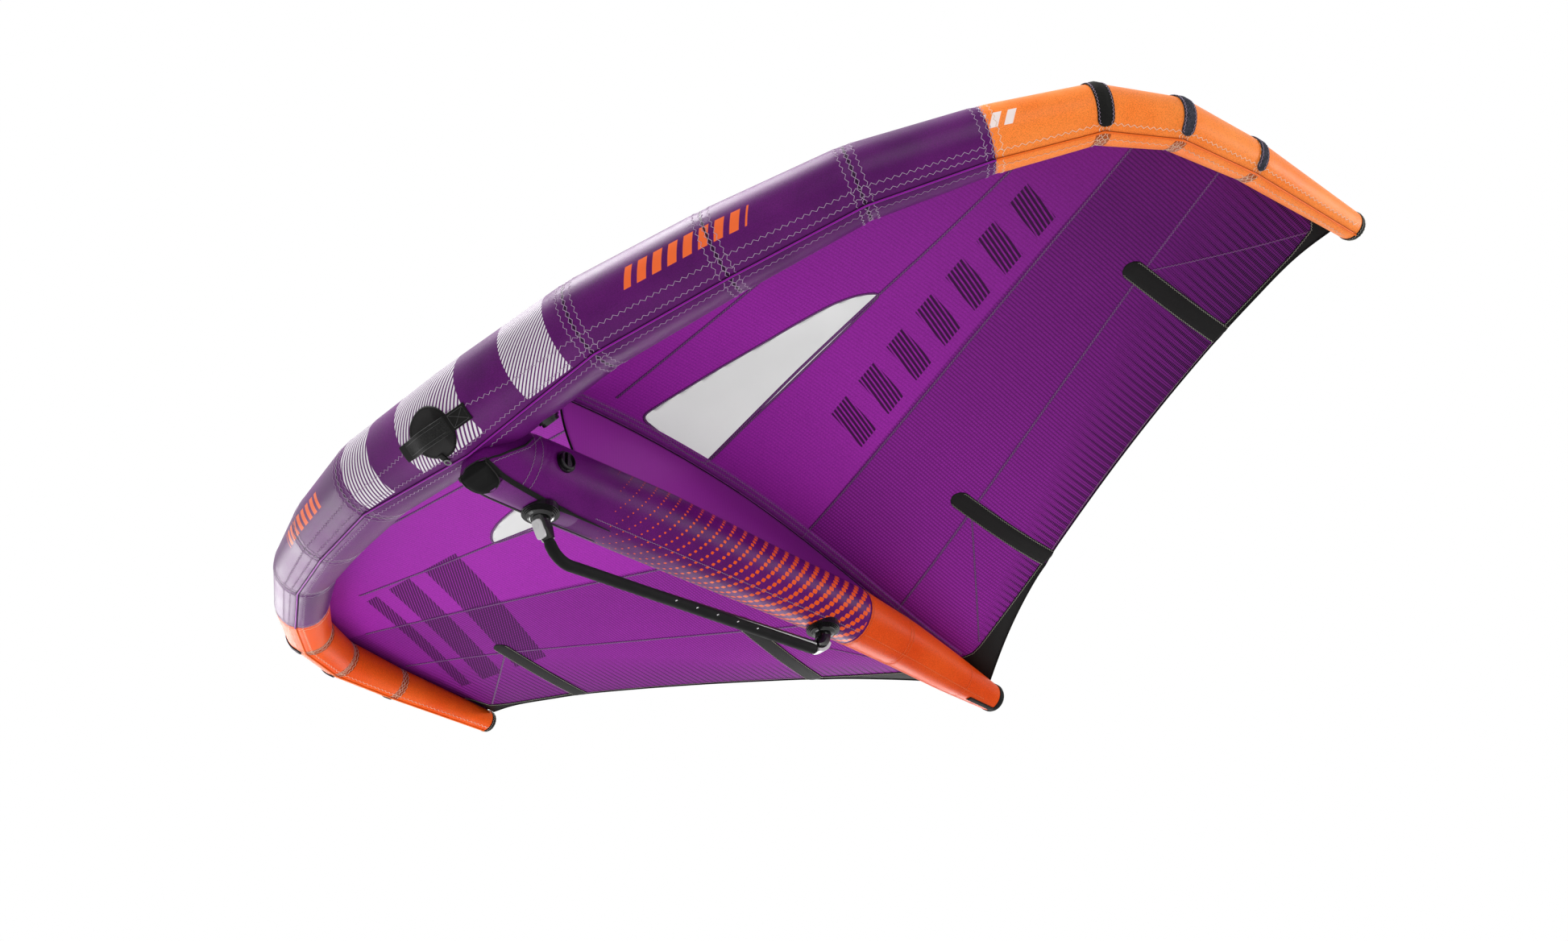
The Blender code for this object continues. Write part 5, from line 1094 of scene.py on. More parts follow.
def nose_inside(turn, share):
    """Points on the flap that runs from the sewn line up into the leading edge."""
    p = strut_skin(nose_start(turn), turn)
    q = np.stack((p[..., 0] * 0.45, p[..., 1] * 0.25, mix(p[..., 2], 0.03, 0.6)), axis=-1)
    return mix(p, q, share)


def nose_skin(y, turn, lift=0.0):
    """The strut's skin with its front rows drawn back to the sewn line."""
    y, turn = spread(y, turn)
    drawn = mix(nose_start(turn), NOSE_RUN, (y - STRUT_START) / (NOSE_RUN - STRUT_START))
    return strut_skin(np.where(y < NOSE_RUN, drawn, y), turn, lift)


def nose_path(y, turn, lift):
    return strut_skin(np.maximum(y, nose_start(turn)), turn, lift)


def strut_part(name, y, material, *nodes):
    """A length of the strut, puckered at its ring seams; the front one has the sewn-in flap."""
    y, turn = spread(y[:, None], np.linspace(-math.pi, math.pi, 97))
    dent = sum(np.exp(-((y - seam) / 0.010) ** 2) for seam in STRUT_SEAMS)
    pucker = np.sin(turn * 27 + np.sin(turn * 5) * 2) * dent
    rings = nose_skin(y, turn, 0.0005 * pucker - 0.0009 * dent)
    uv = np.stack((turn * strut_radius(y), y), axis=-1)
    if y[0, 0] < NOSE_RUN:
        rings = np.concatenate(([nose_inside(turn[0], share) for share in FLAP_SHARES], rings))
        uv = np.concatenate(([uv[0] - (0, 0.1 * share) for share in FLAP_SHARES], uv))
    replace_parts(tube(name, rings[:, :-1], material, uv=uv), *nodes)


def make_strut():
    front = np.concatenate((np.linspace(STRUT_PLACES[0], NOSE_RUN, 30),
                            np.linspace(NOSE_RUN, STRUT_COLOUR_PLACE, 160)[1:]))
    rear = np.linspace(STRUT_COLOUR_PLACE + 0.0005, STRUT_PLACES[-1], 120)
    strut_part("strut_tube_front", front, MATERIALS["strut"], "strut_casing_front",
               "strut_bladder")
    strut_part("strut_tube_rear", rear, MATERIALS["tail"], "strut_casing_rear")
    make_strut_cap()
    make_load_pad()
    make_nose_patch()
    make_strut_stitches()


def make_strut_cap():
    """The moulded cap on the strut's end, with its tab under the tail."""
    end = STRUT_PLACES[-1]
    ring = strut_skin(end, turns_round(64), GAP)
    centre = np.array((0, end, strut_height(end)))
    rings = cap_rings(centre, ring, np.array((0, 1.0, 0)), END_CAP_DEPTH, END_CAP_PROFILE)
    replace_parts(tube("strut_cap_moulded", rings, MATERIALS["black"], sharp=50), "strut_end_cap")
    y = np.linspace(TAB_START, end + 0.004, 12)
    half = TAB_HALF / strut_radius(np.minimum(y, end))
    grid = np.stack([strut_skin(y, half * k, GAP + TAB_THICK / 2)
                     for k in (-1, -0.5, 0, 0.5, 1)], axis=1)
    cloth("strut_tail_tab", grid, TAB_THICK, MATERIALS["black"])


def tape_turn(y):
    return np.interp(y, TAPE_PLACES, TAPE_TURNS)


def make_load_pad():
    """The load pad, the tapes sewn along it and the welt round the nose."""
    y = np.linspace(0.070, 0.330, 60)
    thin = np.interp(y, (0.27, 0.33), (1.0, 0.0))
    grid = np.stack([strut_skin(y, tape_turn(y) * k,
                                thin * (PAD_LIFT + PAD_CROWN * (1 - k ** 2)) - PAD_SUNK)
                     for k in np.linspace(-1, 1, 17)], axis=1)
    pad = cloth("load_pad_cloth", grid, PAD_THICK, MATERIALS["pad"])
    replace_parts(pad, "load_pad")
    y = np.concatenate((np.linspace(0.012, 0.26, 50), np.linspace(0.264, 0.42, 24)))
    half = np.interp(y, (0.26, 0.30, 0.42), (TAPE_WIDTH / 2, 0.0036, 0.0010))[:, None]
    path = nose_path(y, tape_turn(y), 0.0028)
    out = on_skin(strut_skin, y, tape_turn(y))[1]
    across = unit(np.cross(unit(np.gradient(path, axis=0)), out))
    tape = np.stack([path + across * half * k + out * (0.0006 * (1 - k * k))
                     for k in (-1, -0.6, 0, 0.6, 1)], axis=1)
    turn = np.radians(np.linspace(34, 112, 60))
    welt = nose_path(nose_start(turn), turn, 0.0010)
    thick = 0.0012 + 0.0016 * np.sin(np.linspace(0, math.pi, 60)) ** 0.7
    for side, word in SIDES:
        binding = cloth("load_pad_tape_" + word, mirrored(tape, side), 0.0014, MATERIALS["black"])
        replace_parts(binding, "pad_binding")
        tube("nose_welt_" + word, rings_along(mirrored(welt, side), thick, 10), MATERIALS["black"])


def make_nose_patch():
    """A moulded rubber plate with a flat face and a raised lip, under the strut's front end."""
    cols = np.linspace(-1, 1, 33)
    y = np.interp(np.linspace(0, 6, 44), range(7), PATCH_PLACES)[:, None]
    seat = nose_path(*spread(y, np.interp(y, PATCH_PLACES, PATCH_TURNS) * cols), -0.0006)
    face = seat.copy()
    face[..., 2] = mix(seat[:, 16:17, 2] - PATCH_THICK, seat[..., 2], PATCH_BEND * cols ** 4)
    patch = tube("nose_patch_rubber", np.concatenate((face, seat[:, ::-1]), axis=1),
                 MATERIALS["gloss_soft"], sharp=40)
    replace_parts(patch, "nose_patch")
    edge = face[:, -1]
    loop = np.concatenate((edge, mirrored(edge, -1)[::-1], face[0, 1:]))
    loop = loop * (0.985, 1.0, 1.0) + (0, 0, -0.0002)
    # The lip is a paler grey than the plate: a painted highlight along its rim.
    tube("nose_patch_lip", rings_along(loop, LIP_RADIUS, 8, up=DOWN), MATERIALS["lip"])


def make_strut_stitches():
    """Rows behind the nose's welt, round the ring seams and along four lengthwise seams."""
    thread, orange = Thread(), Thread()
    seam = np.radians(np.linspace(36, 150, 80))
    path, out = on_skin(strut_skin, nose_start(seam) + 0.014, seam)
    for side, _ in SIDES:
        thread.zigzag(mirrored(path, side), mirrored(out, side), *NOSE_STITCH)
    turn = np.linspace(-math.pi, math.pi, 160)
    for target, places in ((thread, (0.124, 0.147)), (orange, (1.55, 1.562, 1.85, 1.372, 1.380))):
        for y in places:
            target.zigzag(*on_skin(strut_skin, y, turn), *RING_STITCH)
    for a, b, target in ((0.36, 1.36, thread), (1.38, 1.94, orange)):
        for angle in np.radians((26, 154, -154, -26)):
            rows = on_skin(strut_skin, np.linspace(a, b, 260), angle)
            target.zigzag(*rows, *STRUT_STITCH)
    thread.piece("strut_stitches", MATERIALS["thread_grey"])
    orange.piece("strut_tail_stitches", MATERIALS["thread_tail"])


# Canopy

CUTTER_HEIGHTS = (-0.2, 0.6)
# Thickness of each cloth, and how far below the canopy's middle each layer lies
CANOPY_THICK, TAPE_THICK, PATCH_CLOTH_THICK = 0.0010, 0.0004, 0.0008
TAPE_DROP, STITCH_DROP, PATCH_DROP, PATCH_STITCH_DROP = 0.00085, 0.0011, 0.0016, 0.0024
SLEEVE_DROP, ROD_DROP, SLEEVE_STITCH_DROP = 0.0010, 0.0022, 0.0030
SLEEVE_SWELL, ROD_THICK = 0.0030, 0.0014
SEAM_HALF, SHORT_SEAM_HALF, WINDOW_TAPE_HALF = 0.0045, 0.0026, 0.0038
HEM_SHARE, HEM_ROW_SHARE, BINDING_RADIUS = 0.9985, 0.994, 0.0042
BAND_START, BAND_WIDTH = 0.004, 0.036


def canopy_sheet(name, side, material):
    s = np.unique(np.concatenate((np.linspace(0, 1, 34), np.linspace(1, 4, 84),
                                  np.linspace(4, TIP, 76))))
    c = np.linspace(0, 1, 100)
    points = canopy_at(s[:, None], mix(1 - (1 - c) ** 1.15, c, 0.5))
    points[..., 0] += GAP / 2
    uv = np.stack((points[..., 0] * side, te_y(points[..., 0]) - points[..., 1]), axis=-1)
    return cloth(name, mirrored(points, side), CANOPY_THICK, material, uv=uv)


def carve(obj, outline, operation):
    """Applies a boolean with a cutter that stands on an outline of the plan."""
    count = len(outline)
    verts = np.array([(x, y, z) for z in CUTTER_HEIGHTS for x, y in outline])
    faces = [list(range(count))[::-1], list(range(count, 2 * count))]
    faces += [[k, (k + 1) % count, count + (k + 1) % count, count + k] for k in range(count)]
    mesh = bpy.data.meshes.new("cutter")
    mesh.from_pydata((verts + DATUM).tolist(), [], faces)
    face_out(mesh)
    cutter = bpy.data.objects.new("cutter", mesh)
    bpy.context.scene.collection.objects.link(cutter)
    bpy.ops.object.select_all(action="DESELECT")
    bpy.context.view_layer.objects.active = obj
    obj.select_set(True)
    cut = obj.modifiers.new("cut", "BOOLEAN")
    cut.operation, cut.solver, cut.object = operation, "EXACT", cutter
    bpy.ops.object.modifier_apply(modifier=cut.name)
    obj.select_set(False)
    bpy.data.objects.remove(cutter)


def window_outline(inset):
    """The window's plan, round to the left, with its corners rounded; drawn in by an inset."""
    loop = np.array(WINDOW)
    for _ in range(2):
        loop = cut_corners(np.concatenate((loop, loop[:1])), 0.22)
    way = unit(np.roll(loop, -1, axis=0) - np.roll(loop, 1, axis=0))
    return loop + np.stack((-way[:, 1], way[:, 0]), axis=1) * inset


def rounded_path(points):
    """A polyline with its corners cut twice, then made dense."""
    points = np.array(points)
    for _ in range(2):
        points = np.concatenate((points[:1], cut_corners(points, 0.25), points[-1:]))
    return dense(points, 0.012)


def plan_ribbon(path, offsets, side, drop):
    """A grid under the canopy along a path of the plan, at offsets to its left."""
    left = across_plan(path)
    return np.stack([under_plan(path + left * off, side, drop)[0] for off in offsets], axis=1)


def plan_zigzag(thread, path, side, drop, stitch=SEAM_STITCH):
    thread.zigzag(*under_plan(path, side, drop), *stitch)


def make_canopy():
    for side, word in SIDES:
        half = canopy_sheet("canopy_cloth_" + word, side, MATERIALS["canopy"])
        pane = canopy_sheet("window_pane_" + word, side, MATERIALS["film"])
        carve(half, window_outline(0.0) * (side, 1), "DIFFERENCE")
        carve(pane, window_outline(GAP) * (side, 1), "INTERSECT")
        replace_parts(half, "canopy_" + word)
        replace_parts(pane, "window_" + word)
        make_canopy_seams(side, word)
        make_battens(side, word)
    make_patches()


def make_canopy_seams(side, word):
    """Lapped panel seams with a zigzag row, and the taped edge of the window."""
    thread = Thread()
    seams = [(rounded_path(p), SEAM_HALF) for p in PANEL_SEAMS]
    seams += [(dense(p, 0.012), SHORT_SEAM_HALF) for p in SHORT_SEAMS]
    for k, (path, half) in enumerate(seams):
        grid = plan_ribbon(path, (-half, 0, half), side, TAPE_DROP)
        cloth("canopy_seam_" + word + "_" + str(k + 1), grid, TAPE_THICK, MATERIALS["seam"])
        plan_zigzag(thread, path, side, STITCH_DROP)
    loop = window_outline(-0.0035)
    loop = dense(np.concatenate((loop, loop[:1])), 0.010)
    grid = plan_ribbon(loop, (-WINDOW_TAPE_HALF, 0, WINDOW_TAPE_HALF), side, TAPE_DROP)
    cloth("window_tape_" + word, grid, TAPE_THICK, MATERIALS["seam"])
    plan_zigzag(thread, loop, side, STITCH_DROP, WINDOW_STITCH)
    thread.piece("canopy_stitches_" + word, MATERIALS["thread_grey"])


def make_battens(side, word):
    """Black batten sleeves with a round front end and a row of stitches at each edge."""
    for place, a, b in BATTENS:
        a, b = np.array(a), np.array(b)
        path = dense((a, b + unit(b - a) * (te_y(b[0]) - b[1] - 0.004)), 0.006)
        at = arc_lengths(path)
        half = round_end(at, SLEEVE_HALF, 0.03)[:, None]
        left = across_plan(path)
        swell = SLEEVE_SWELL * np.minimum(at / 0.02, 1)[:, None]
        sleeve = []
        for col in np.linspace(-1, 1, 11):
            points, way = under_plan(path + left * half * col, side, SLEEVE_DROP)
            sleeve.append(points + way * swell * (1 - abs(col) ** 4))
        rod = plan_ribbon(path[3:-1], BATTEN_HALF * np.linspace(-1, 1, 5), side, ROD_DROP)
        rod = cloth("batten_rod_" + place + "_" + word, rod, ROD_THICK, MATERIALS["glass"])
        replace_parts(rod, "batten_" + place + "_" + word)
        pocket = cloth("batten_pocket_" + place + "_" + word, np.stack(sleeve, axis=1),
                       PATCH_CLOTH_THICK, MATERIALS["patch"])
        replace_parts(pocket, "batten_sleeve_" + place + "_" + word)
        thread = Thread()
        for edge in (-1, 1):
            line = path + left * (half - 0.003) * edge
            plan_zigzag(thread, line[3:], side, SLEEVE_STITCH_DROP, BATTEN_STITCH)
        thread.piece("batten_stitches_" + place + "_" + word, MATERIALS["thread_cream"])


def patch_grid(outline, side):
    """A grid between a line of the plan and the trailing edge, and that line in close steps."""
    outline = np.array(outline)
    x = np.linspace(outline[0, 0], outline[-1, 0], 90)
    front = np.interp(x, outline[:, 0], outline[:, 1])
    back = te_y(x) - 0.0015
    rows = [np.stack((x, mix(front, back, t)), axis=1) for t in np.linspace(0, 1, 9)]
    return np.stack([under_plan(row, side, PATCH_DROP)[0] for row in rows], axis=1), rows[0]


def make_patches():
    """Black laminate at the tail and the tips, and the bound trailing edge."""
    stitches = Thread()
    right, tail_edge = patch_grid(TAIL_PATCH, 1)
    whole = np.concatenate((mirrored(right[:0:-1], -1), right))
    tail = cloth("tail_patch_laminate", whole, PATCH_CLOTH_THICK, MATERIALS["patch"])
    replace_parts(tail, "tail_patch")
    s = np.linspace(0.03, 7.97, 420)
    for side, word in SIDES:
        grid, tip_edge = patch_grid(TIP_PATCH, side)
        tip = cloth("tip_patch_laminate_" + word, grid, PATCH_CLOTH_THICK, MATERIALS["patch"])
        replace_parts(tip, "tip_patch_" + word)
        for edge in (tail_edge, tip_edge):
            plan_zigzag(stitches, edge + (0, 0.004), side, PATCH_STITCH_DROP, PATCH_STITCH)
        way = mirrored(-canopy_normal(s, HEM_SHARE), side)
        hem = mirrored(canopy_at(s, HEM_SHARE), side)
        rings = rings_along(hem, BINDING_RADIUS, 8, up=way, flat=0.45)
        tube("trailing_edge_binding_" + word, rings, MATERIALS["black"])
        near = mirrored(canopy_at(s, HEM_ROW_SHARE), side) + way * 0.0009
        stitches.zigzag(near, way, *REAR_STITCH)
    stitches.piece("patch_stitches", MATERIALS["thread_cream"])


def make_web():
    """The upright panel between strut and canopy, its welt and the cord along its upper edge."""
    t = np.linspace(0, 1, 120)
    rows = np.linspace(0, 1, 25)
    foot, head = mix(0.345, 1.660, t), mix(0.285, 1.660, t)
    centre = canopy_at(0.0, np.linspace(0, 1, 400))
    top = np.interp(head, centre[:, 1], centre[:, 2]) - 0.0012
    low = np.stack((0 * t, foot, strut_height(foot) + strut_radius(foot) + 0.0002), axis=1)
    high = np.stack((0 * t, head, top), axis=1)
    grid = np.stack([mix(low, high, j) for j in rows], axis=1)
    grid[..., 1] -= 0.012 * np.sin(math.pi * rows) * (1 - t[:, None]) ** 4
    grid[..., 0] += 0.004 * np.sin(math.pi * rows) * np.sin(math.pi * t[:, None])
    web = cloth("profile_web_cloth", grid, CANOPY_THICK, MATERIALS["web"])
    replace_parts(web, "profile_web")
    welt = rings_along(grid[0] - (0, 0.0038, 0), 0.0028, 12)
    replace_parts(tube("web_welt", welt, MATERIALS["black"]), "web_piping")
    cord = rings_along(grid[:, -1] + (0.0020, 0, -0.0022), 0.0014, 8)
    tube("web_top_cord", cord, MATERIALS["black"])


def make_centre_band():
    """The doubled strip beside the web, with two rows of stitches."""
    y = np.linspace(0.300, 1.840, 200)
    centre = np.stack((0 * y, y), axis=1)
    thread = Thread()
    for side, word in SIDES:
        grid = plan_ribbon(centre + (BAND_START + BAND_WIDTH / 2, 0),
                           BAND_WIDTH * np.linspace(-0.5, 0.5, 5), side, TAPE_DROP)
        cloth("centre_band_" + word, grid, 0.0005, MATERIALS["band"])
        for off in (0.020, 0.034):
            plan_zigzag(thread, centre + (off, 0), side, 0.0012)
    thread.piece("centre_band_stitches", MATERIALS["thread_grey"])


# Handle and leash point

HANDLE_PLACE, HANDLE_TURN = -0.032, math.radians(43)
HANDLE_LENGTH, HANDLE_WIDTH, HANDLE_RISE, HANDLE_ARCH = 0.232, 0.044, 0.033, 0.172
DISC_PLACE, DISC_TURN, DISC_RADIUS = -0.035, math.radians(45), 0.068
DISC_LIFT = 0.0024
GRIP_PAD_WIDTH, GRIP_PAD_THICK, GRIP_PAD_CORNER = 0.045, 0.015, 2.8
GRIP_PAD_RIBS = (0.28, -0.34)
GRIP_PAD_LINES = (3, 7, 13, 17, 23, 27, 33, 37)
BOX_STITCHES = ((47.5, 1.0), (58.5, 1.0), (58.5, 7.0), (47.5, 7.0), (47.5, 1.0), (58.5, 7.0),
                (58.5, 1.0), (47.5, 7.0))
LEASH_PLACE, LEASH_RADIUS, LEASH_CORD = -0.055, 0.008, 0.0022


def handle_rows(first, last, count):
    """Rows of points across the strap, between shares of its half length."""
    rows = []
    for x in np.linspace(first, last, count) * HANDLE_LENGTH / 2:
        rise = HANDLE_RISE * math.cos(math.pi / 2 * min(1, abs(x) / (HANDLE_ARCH / 2))) ** 2
        lift = 0.0018 + rise
        s = station_at(HANDLE_PLACE + x)
        middle, out = on_skin(le_skin, s, HANDLE_TURN, lift)
        half = HANDLE_WIDTH / 2 / (LE_CENTRE_RADIUS + lift)
        edge = le_skin(s, HANDLE_TURN + np.linspace(-1, 1, 9) * half, lift)
        flat = min(1.0, rise / HANDLE_RISE * 4)
        rows.append(edge - out * ((edge - middle) @ out)[:, None] * flat)
    return np.array(rows)


def on_grid(grid, r, c):
    """Points between the rows and columns of a grid."""
    i, j = r.astype(int), c.astype(int)
    i, j = np.minimum(i, grid.shape[0] - 2), np.minimum(j, grid.shape[1] - 2)
    a, b = (r - i)[:, None], (c - j)[:, None]
    return mix(mix(grid[i, j], grid[i + 1, j], a), mix(grid[i, j + 1], grid[i + 1, j + 1], a), b)


def disc_ring(radius, lift):
    """A circle on the tube round the middle of the handle's patch, and the way out."""
    ring = turns_round(72)
    s = station_at(DISC_PLACE + radius * np.cos(ring))
    return on_skin(le_skin, s, DISC_TURN + radius * np.sin(ring) / LE_CENTRE_RADIUS, lift)


def make_handle():
    make_handle_patch()
    strap = handle_rows(-1.0, 1.0, 61)
    webbing = cloth("handle_strap", strap, 0.0024, MATERIALS["black"])
    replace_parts(webbing, "handle_webbing")
    lines = Thread()
    make_handle_pad(lines)
    out = unit(np.cross(strap[52, 7] - strap[52, 1], strap[57, 4] - strap[47, 4]))
    t = np.linspace(0, 1, 14)[:, None]
    for a, b in zip(BOX_STITCHES, BOX_STITCHES[1:]):
        points = on_grid(strap, *mix(np.array(a), np.array(b), t).T)
        for way in (-out, out):
            lines.strand(points + way * 0.0013, np.broadcast_to(way, points.shape), 0.0015, 0.0007)
    lines.piece("handle_stitches", MATERIALS["thread_dark"])
    make_leash_point()


def make_handle_patch():
    """The round patch under the handle and its ring of stitches."""
    radii = np.linspace(0, DISC_RADIUS, 14)[1:]
    layers = [disc_ring(r, DISC_LIFT)[0] for r in radii]
    layers += [disc_ring(r, 0.0006)[0] for r in radii[::-1]]
    patch = tube("handle_patch_cloth", layers, MATERIALS["patch"])
    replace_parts(patch, "handle_patch")
    thread = Thread()
    ring, out = (np.append(row, row[:1], axis=0) for row in disc_ring(0.064, DISC_LIFT))
    thread.zigzag(ring, out, *DISC_STITCH)
    thread.piece("handle_patch_stitches", MATERIALS["patch"])


def make_handle_pad(lines):
    """The soft grip round the strap: a squarish section with ribs and lines of stitches along."""
    rows = handle_rows(-0.80, 0.52, 49)
    middle = rows[:, 4]
    across = unit(rows[:, -1] - rows[:, 0])
    up = unit(np.cross(np.gradient(middle, axis=0), across))
    place = np.abs(np.linspace(-1, 1, len(rows)))
    end = np.maximum(0, (place - 0.93) / 0.07)
    swell = (1 - 0.3 * place ** 3) * np.sqrt(np.maximum(0.06, 1 - end ** 2))
    turn = turns_round(40)
    wide, high = (np.sign(v) * np.abs(v) ** (2 / GRIP_PAD_CORNER)
                  for v in (np.cos(turn), np.sin(turn)))
    ribs = sum(np.exp(-((wide - at) / 0.07) ** 2) for at in GRIP_PAD_RIBS)
    ribs = 1 - 0.34 * ribs * np.abs(high)
    outer = middle[:, None] + across[:, None] * (wide * GRIP_PAD_WIDTH / 2)[:, None]
    outer = outer + up[:, None] * (swell[:, None] * high * ribs * GRIP_PAD_THICK / 2)[..., None]
    pad = tube("handle_grip_pad", outer, MATERIALS["neoprene"])
    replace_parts(pad, "handle_pad")
    outer = outer[3:-3]
    core = outer.mean(axis=1)
    for k in GRIP_PAD_LINES:
        reach = outer[:, k] - core
        lines.strand(outer[:, k] + reach * 0.02, unit(reach), 0.0016, 0.0008)


def make_leash_point():
    """A short tab on the tube with a small sewn loop."""
    turn = np.radians(np.linspace(21, 9, 14))
    grid = np.stack([le_skin(station_at(LEASH_PLACE + 0.009 * k), turn, 0.0040 - 0.0004 * abs(k))
                     for k in np.linspace(-1, 1, 7)], axis=1)
    tab = cloth("leash_tab_webbing", grid, 0.0018, MATERIALS["black"])
    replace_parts(tab, "leash_tab")
    end = grid[-1, 3]
    back = unit(end - grid[-2, 3])
    side = unit(grid[-1, -1] - grid[-1, 0])
    out = unit(np.cross(side, back))
    out = out if out[2] < 0 else -out
    a = turns_round(48)[:, None]
    spoke = np.cos(a) * side + np.sin(a) * back
    path = end + out * 0.0033 + LEASH_RADIUS * spoke
    k = turns_round(12)[:, None]
    rings = path[:, None] + LEASH_CORD * (np.cos(k) * unit(spoke)[:, None] + np.sin(k) * out)
    loop = tube("leash_cord_loop", rings, MATERIALS["cord"], caps=False)
    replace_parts(loop, "leash_loop")


# Boom

FRONT_BASE_PLACE = 0.219
GRIP_SLOPE, POST_LEAN = math.radians(7), math.radians(27.5)
GRIP_START, GRIP_DROP, GRIP_RADIUS, GRIP_BEND = 0.345, 0.238, 0.015, 0.065
FITTINGS = {
    "gloss": ("front_base", "rear_base", "front_post", "rear_post", "strut_valve_body",
              "strut_valve_cap", "le_valve_body", "le_valve_cap"),
    "grey": ("front_release_button", "rear_release_button", "strut_valve_poppet",
             "le_valve_poppet"),
    "steel": ("front_button_spring", "rear_button_spring", "strut_valve_spring",
              "le_valve_spring"),
    "carbon": ("boom_tube",),
}


def grip_path():
    """The grip's axis: down along the front post, round a bend and back to the rear post."""
    grip_way = np.array((0, math.cos(GRIP_SLOPE), math.sin(GRIP_SLOPE)))
    post_way = np.array((0, math.sin(POST_LEAN), -math.cos(POST_LEAN)))
    start = np.array((0, GRIP_START, -GRIP_DROP))
    belly = strut_height(FRONT_BASE_PLACE) - strut_radius(FRONT_BASE_PLACE)
    sag = STRUT_RADIUS * (1 - math.cos(math.pi / 24))
    top = np.array((0, FRONT_BASE_PLACE, belly - 0.0026 - GAP * 4 - sag - 0.019))
    normal = np.array((0, -grip_way[2], grip_way[1]))
    corner = top + post_way * ((start - top).dot(normal) / post_way.dot(normal))
    angle = math.acos(post_way.dot(grip_way))
    inward = unit(grip_way - post_way * grip_way.dot(post_way))
    first = corner - post_way * (GRIP_BEND * math.tan(angle / 2))
    a = np.linspace(0, angle, 22)[:, None]
    bend = first + GRIP_BEND * (inward * (1 - np.cos(a)) + post_way * np.sin(a))
    start = max(start, bend[-1], key=lambda p: p[1])
    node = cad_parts["boom_grip"]
    corners = np.array([v.co for v in node.data.vertices]) - DATUM
    end = corners[np.argsort(corners[:, 1])[-16:]].mean(0) * (0, 1, 1)
    path = ([top + post_way * (0.056 + GAP)], bend, np.linspace(start, end, 40)[1:])
    return dense(np.concatenate(path), 0.012)


def make_boom():
    """Foam grip over the tube: fine closed-cell foam, rounded over at both ends."""
    path = grip_path()
    at = arc_lengths(path)
    edge = np.minimum(at, at[-1] - at)
    radius = GRIP_RADIUS * (1 - 0.16 * (1 - np.minimum(edge / 0.004, 1)) ** 2)
    grip = tube("boom_grip_foam", rings_along(path, radius, 40), MATERIALS["foam"], body="boom")
    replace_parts(grip, "boom_grip")
    marks = Thread()
    turn = np.radians(np.linspace(62, 78, 5))
    out = np.stack((np.sin(turn), 0 * turn, -np.cos(turn)), axis=1)
    for y in 0.655 + 0.075 * np.arange(5):
        middle = np.stack((0 * turn, y + np.linspace(0, 0.006, 5),
                           0 * turn + np.interp(y, path[:, 1], path[:, 2])), axis=1)
        marks.strand(middle + out * (GRIP_RADIUS + 0.0001), out, 0.0030, 0.0003)
    marks.piece("boom_grip_marks", MATERIALS["mark"], "boom")


def dress_nodes():
    """CAD nodes whose shape is right keep it and get their real finish."""
    for finish, names in FITTINGS.items():
        for name in names:
            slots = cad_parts[name].data.materials
            slots.clear()
            slots.append(MATERIALS[finish])


# Stage

CAMERA_PLACE = (2.92297, -3.06510, -2.55338)
CAMERA_RIGHT = Vector((0.72588061, 0.68397299, -0.07265175))
CAMERA_DOWN = Vector((-0.43790459, 0.37809706, -0.81564832))
CAMERA_AHEAD = Vector((-0.53041201, 0.62387784, 0.57396824))
FLOOR_SIZE, FLOOR_HEIGHT = 24.0, -3.3
# Name, place, point it looks at, size and the setting that gives its power
LAMPS = (("key_overhead", (-0.6, -1.9, 4.5), (0, -0.5, 0.2), 3.0, "key_power"),
         ("front_right", (4.4, -3.2, 0.9), (0.9, 0, 0.3), 1.5, "front_power"),
         ("fill_below", (-2.3, -1.7, -2.9), (0, 0.1, 0.2), 1.8, "fill_power"),
         ("side_left", (-4.8, 0.2, 0.5), (0, 0, 0.2), 3.0, "side_power"),
         ("rim_behind_left", (-3.0, 4.4, -0.9), (0.2, 0, 0.2), 1.6, "rim_power"),
         ("strut_glow", (4.0, 3.7, 0.9), (0, 0.2, 0.1), 0.9, "glow_power"))


def make_world(look):
    """White where it is seen, itself or in a gloss, and a soft even light for the rest."""
    world = bpy.data.worlds.new("studio_light")
    world.use_nodes = True
    bpy.context.scene.world = world
    tree = world.node_tree
    tree.nodes.clear()
    rays = put(tree, "LightPath").node.outputs
    seen = any_of(tree, rays["Is Camera Ray"], rays["Is Glossy Ray"], rays["Is Transmission Ray"])
    white = put(tree, "Background", {"Color": "#ffffff", "Strength": 1.0})
    soft = put(tree, "Background", {"Color": "#ffffff", "Strength": look.world_strength})
    both = put(tree, "MixShader", (seen, soft, white))
    out = tree.nodes.new("ShaderNodeOutputWorld")
    tree.links.new(both, out.inputs[0])


def make_camera():
    camera = bpy.data.cameras.new("photo_camera")
    camera.lens, camera.sensor_width, camera.clip_end = 43.91, 36.0, 100.0
    obj = bpy.data.objects.new("photo_camera", camera)
    bpy.context.scene.collection.objects.link(obj)
    turn = Matrix((CAMERA_RIGHT, -CAMERA_DOWN, -CAMERA_AHEAD)).transposed().to_4x4()
    obj.matrix_world = Matrix.Translation(CAMERA_PLACE) @ turn
    bpy.context.scene.camera = obj


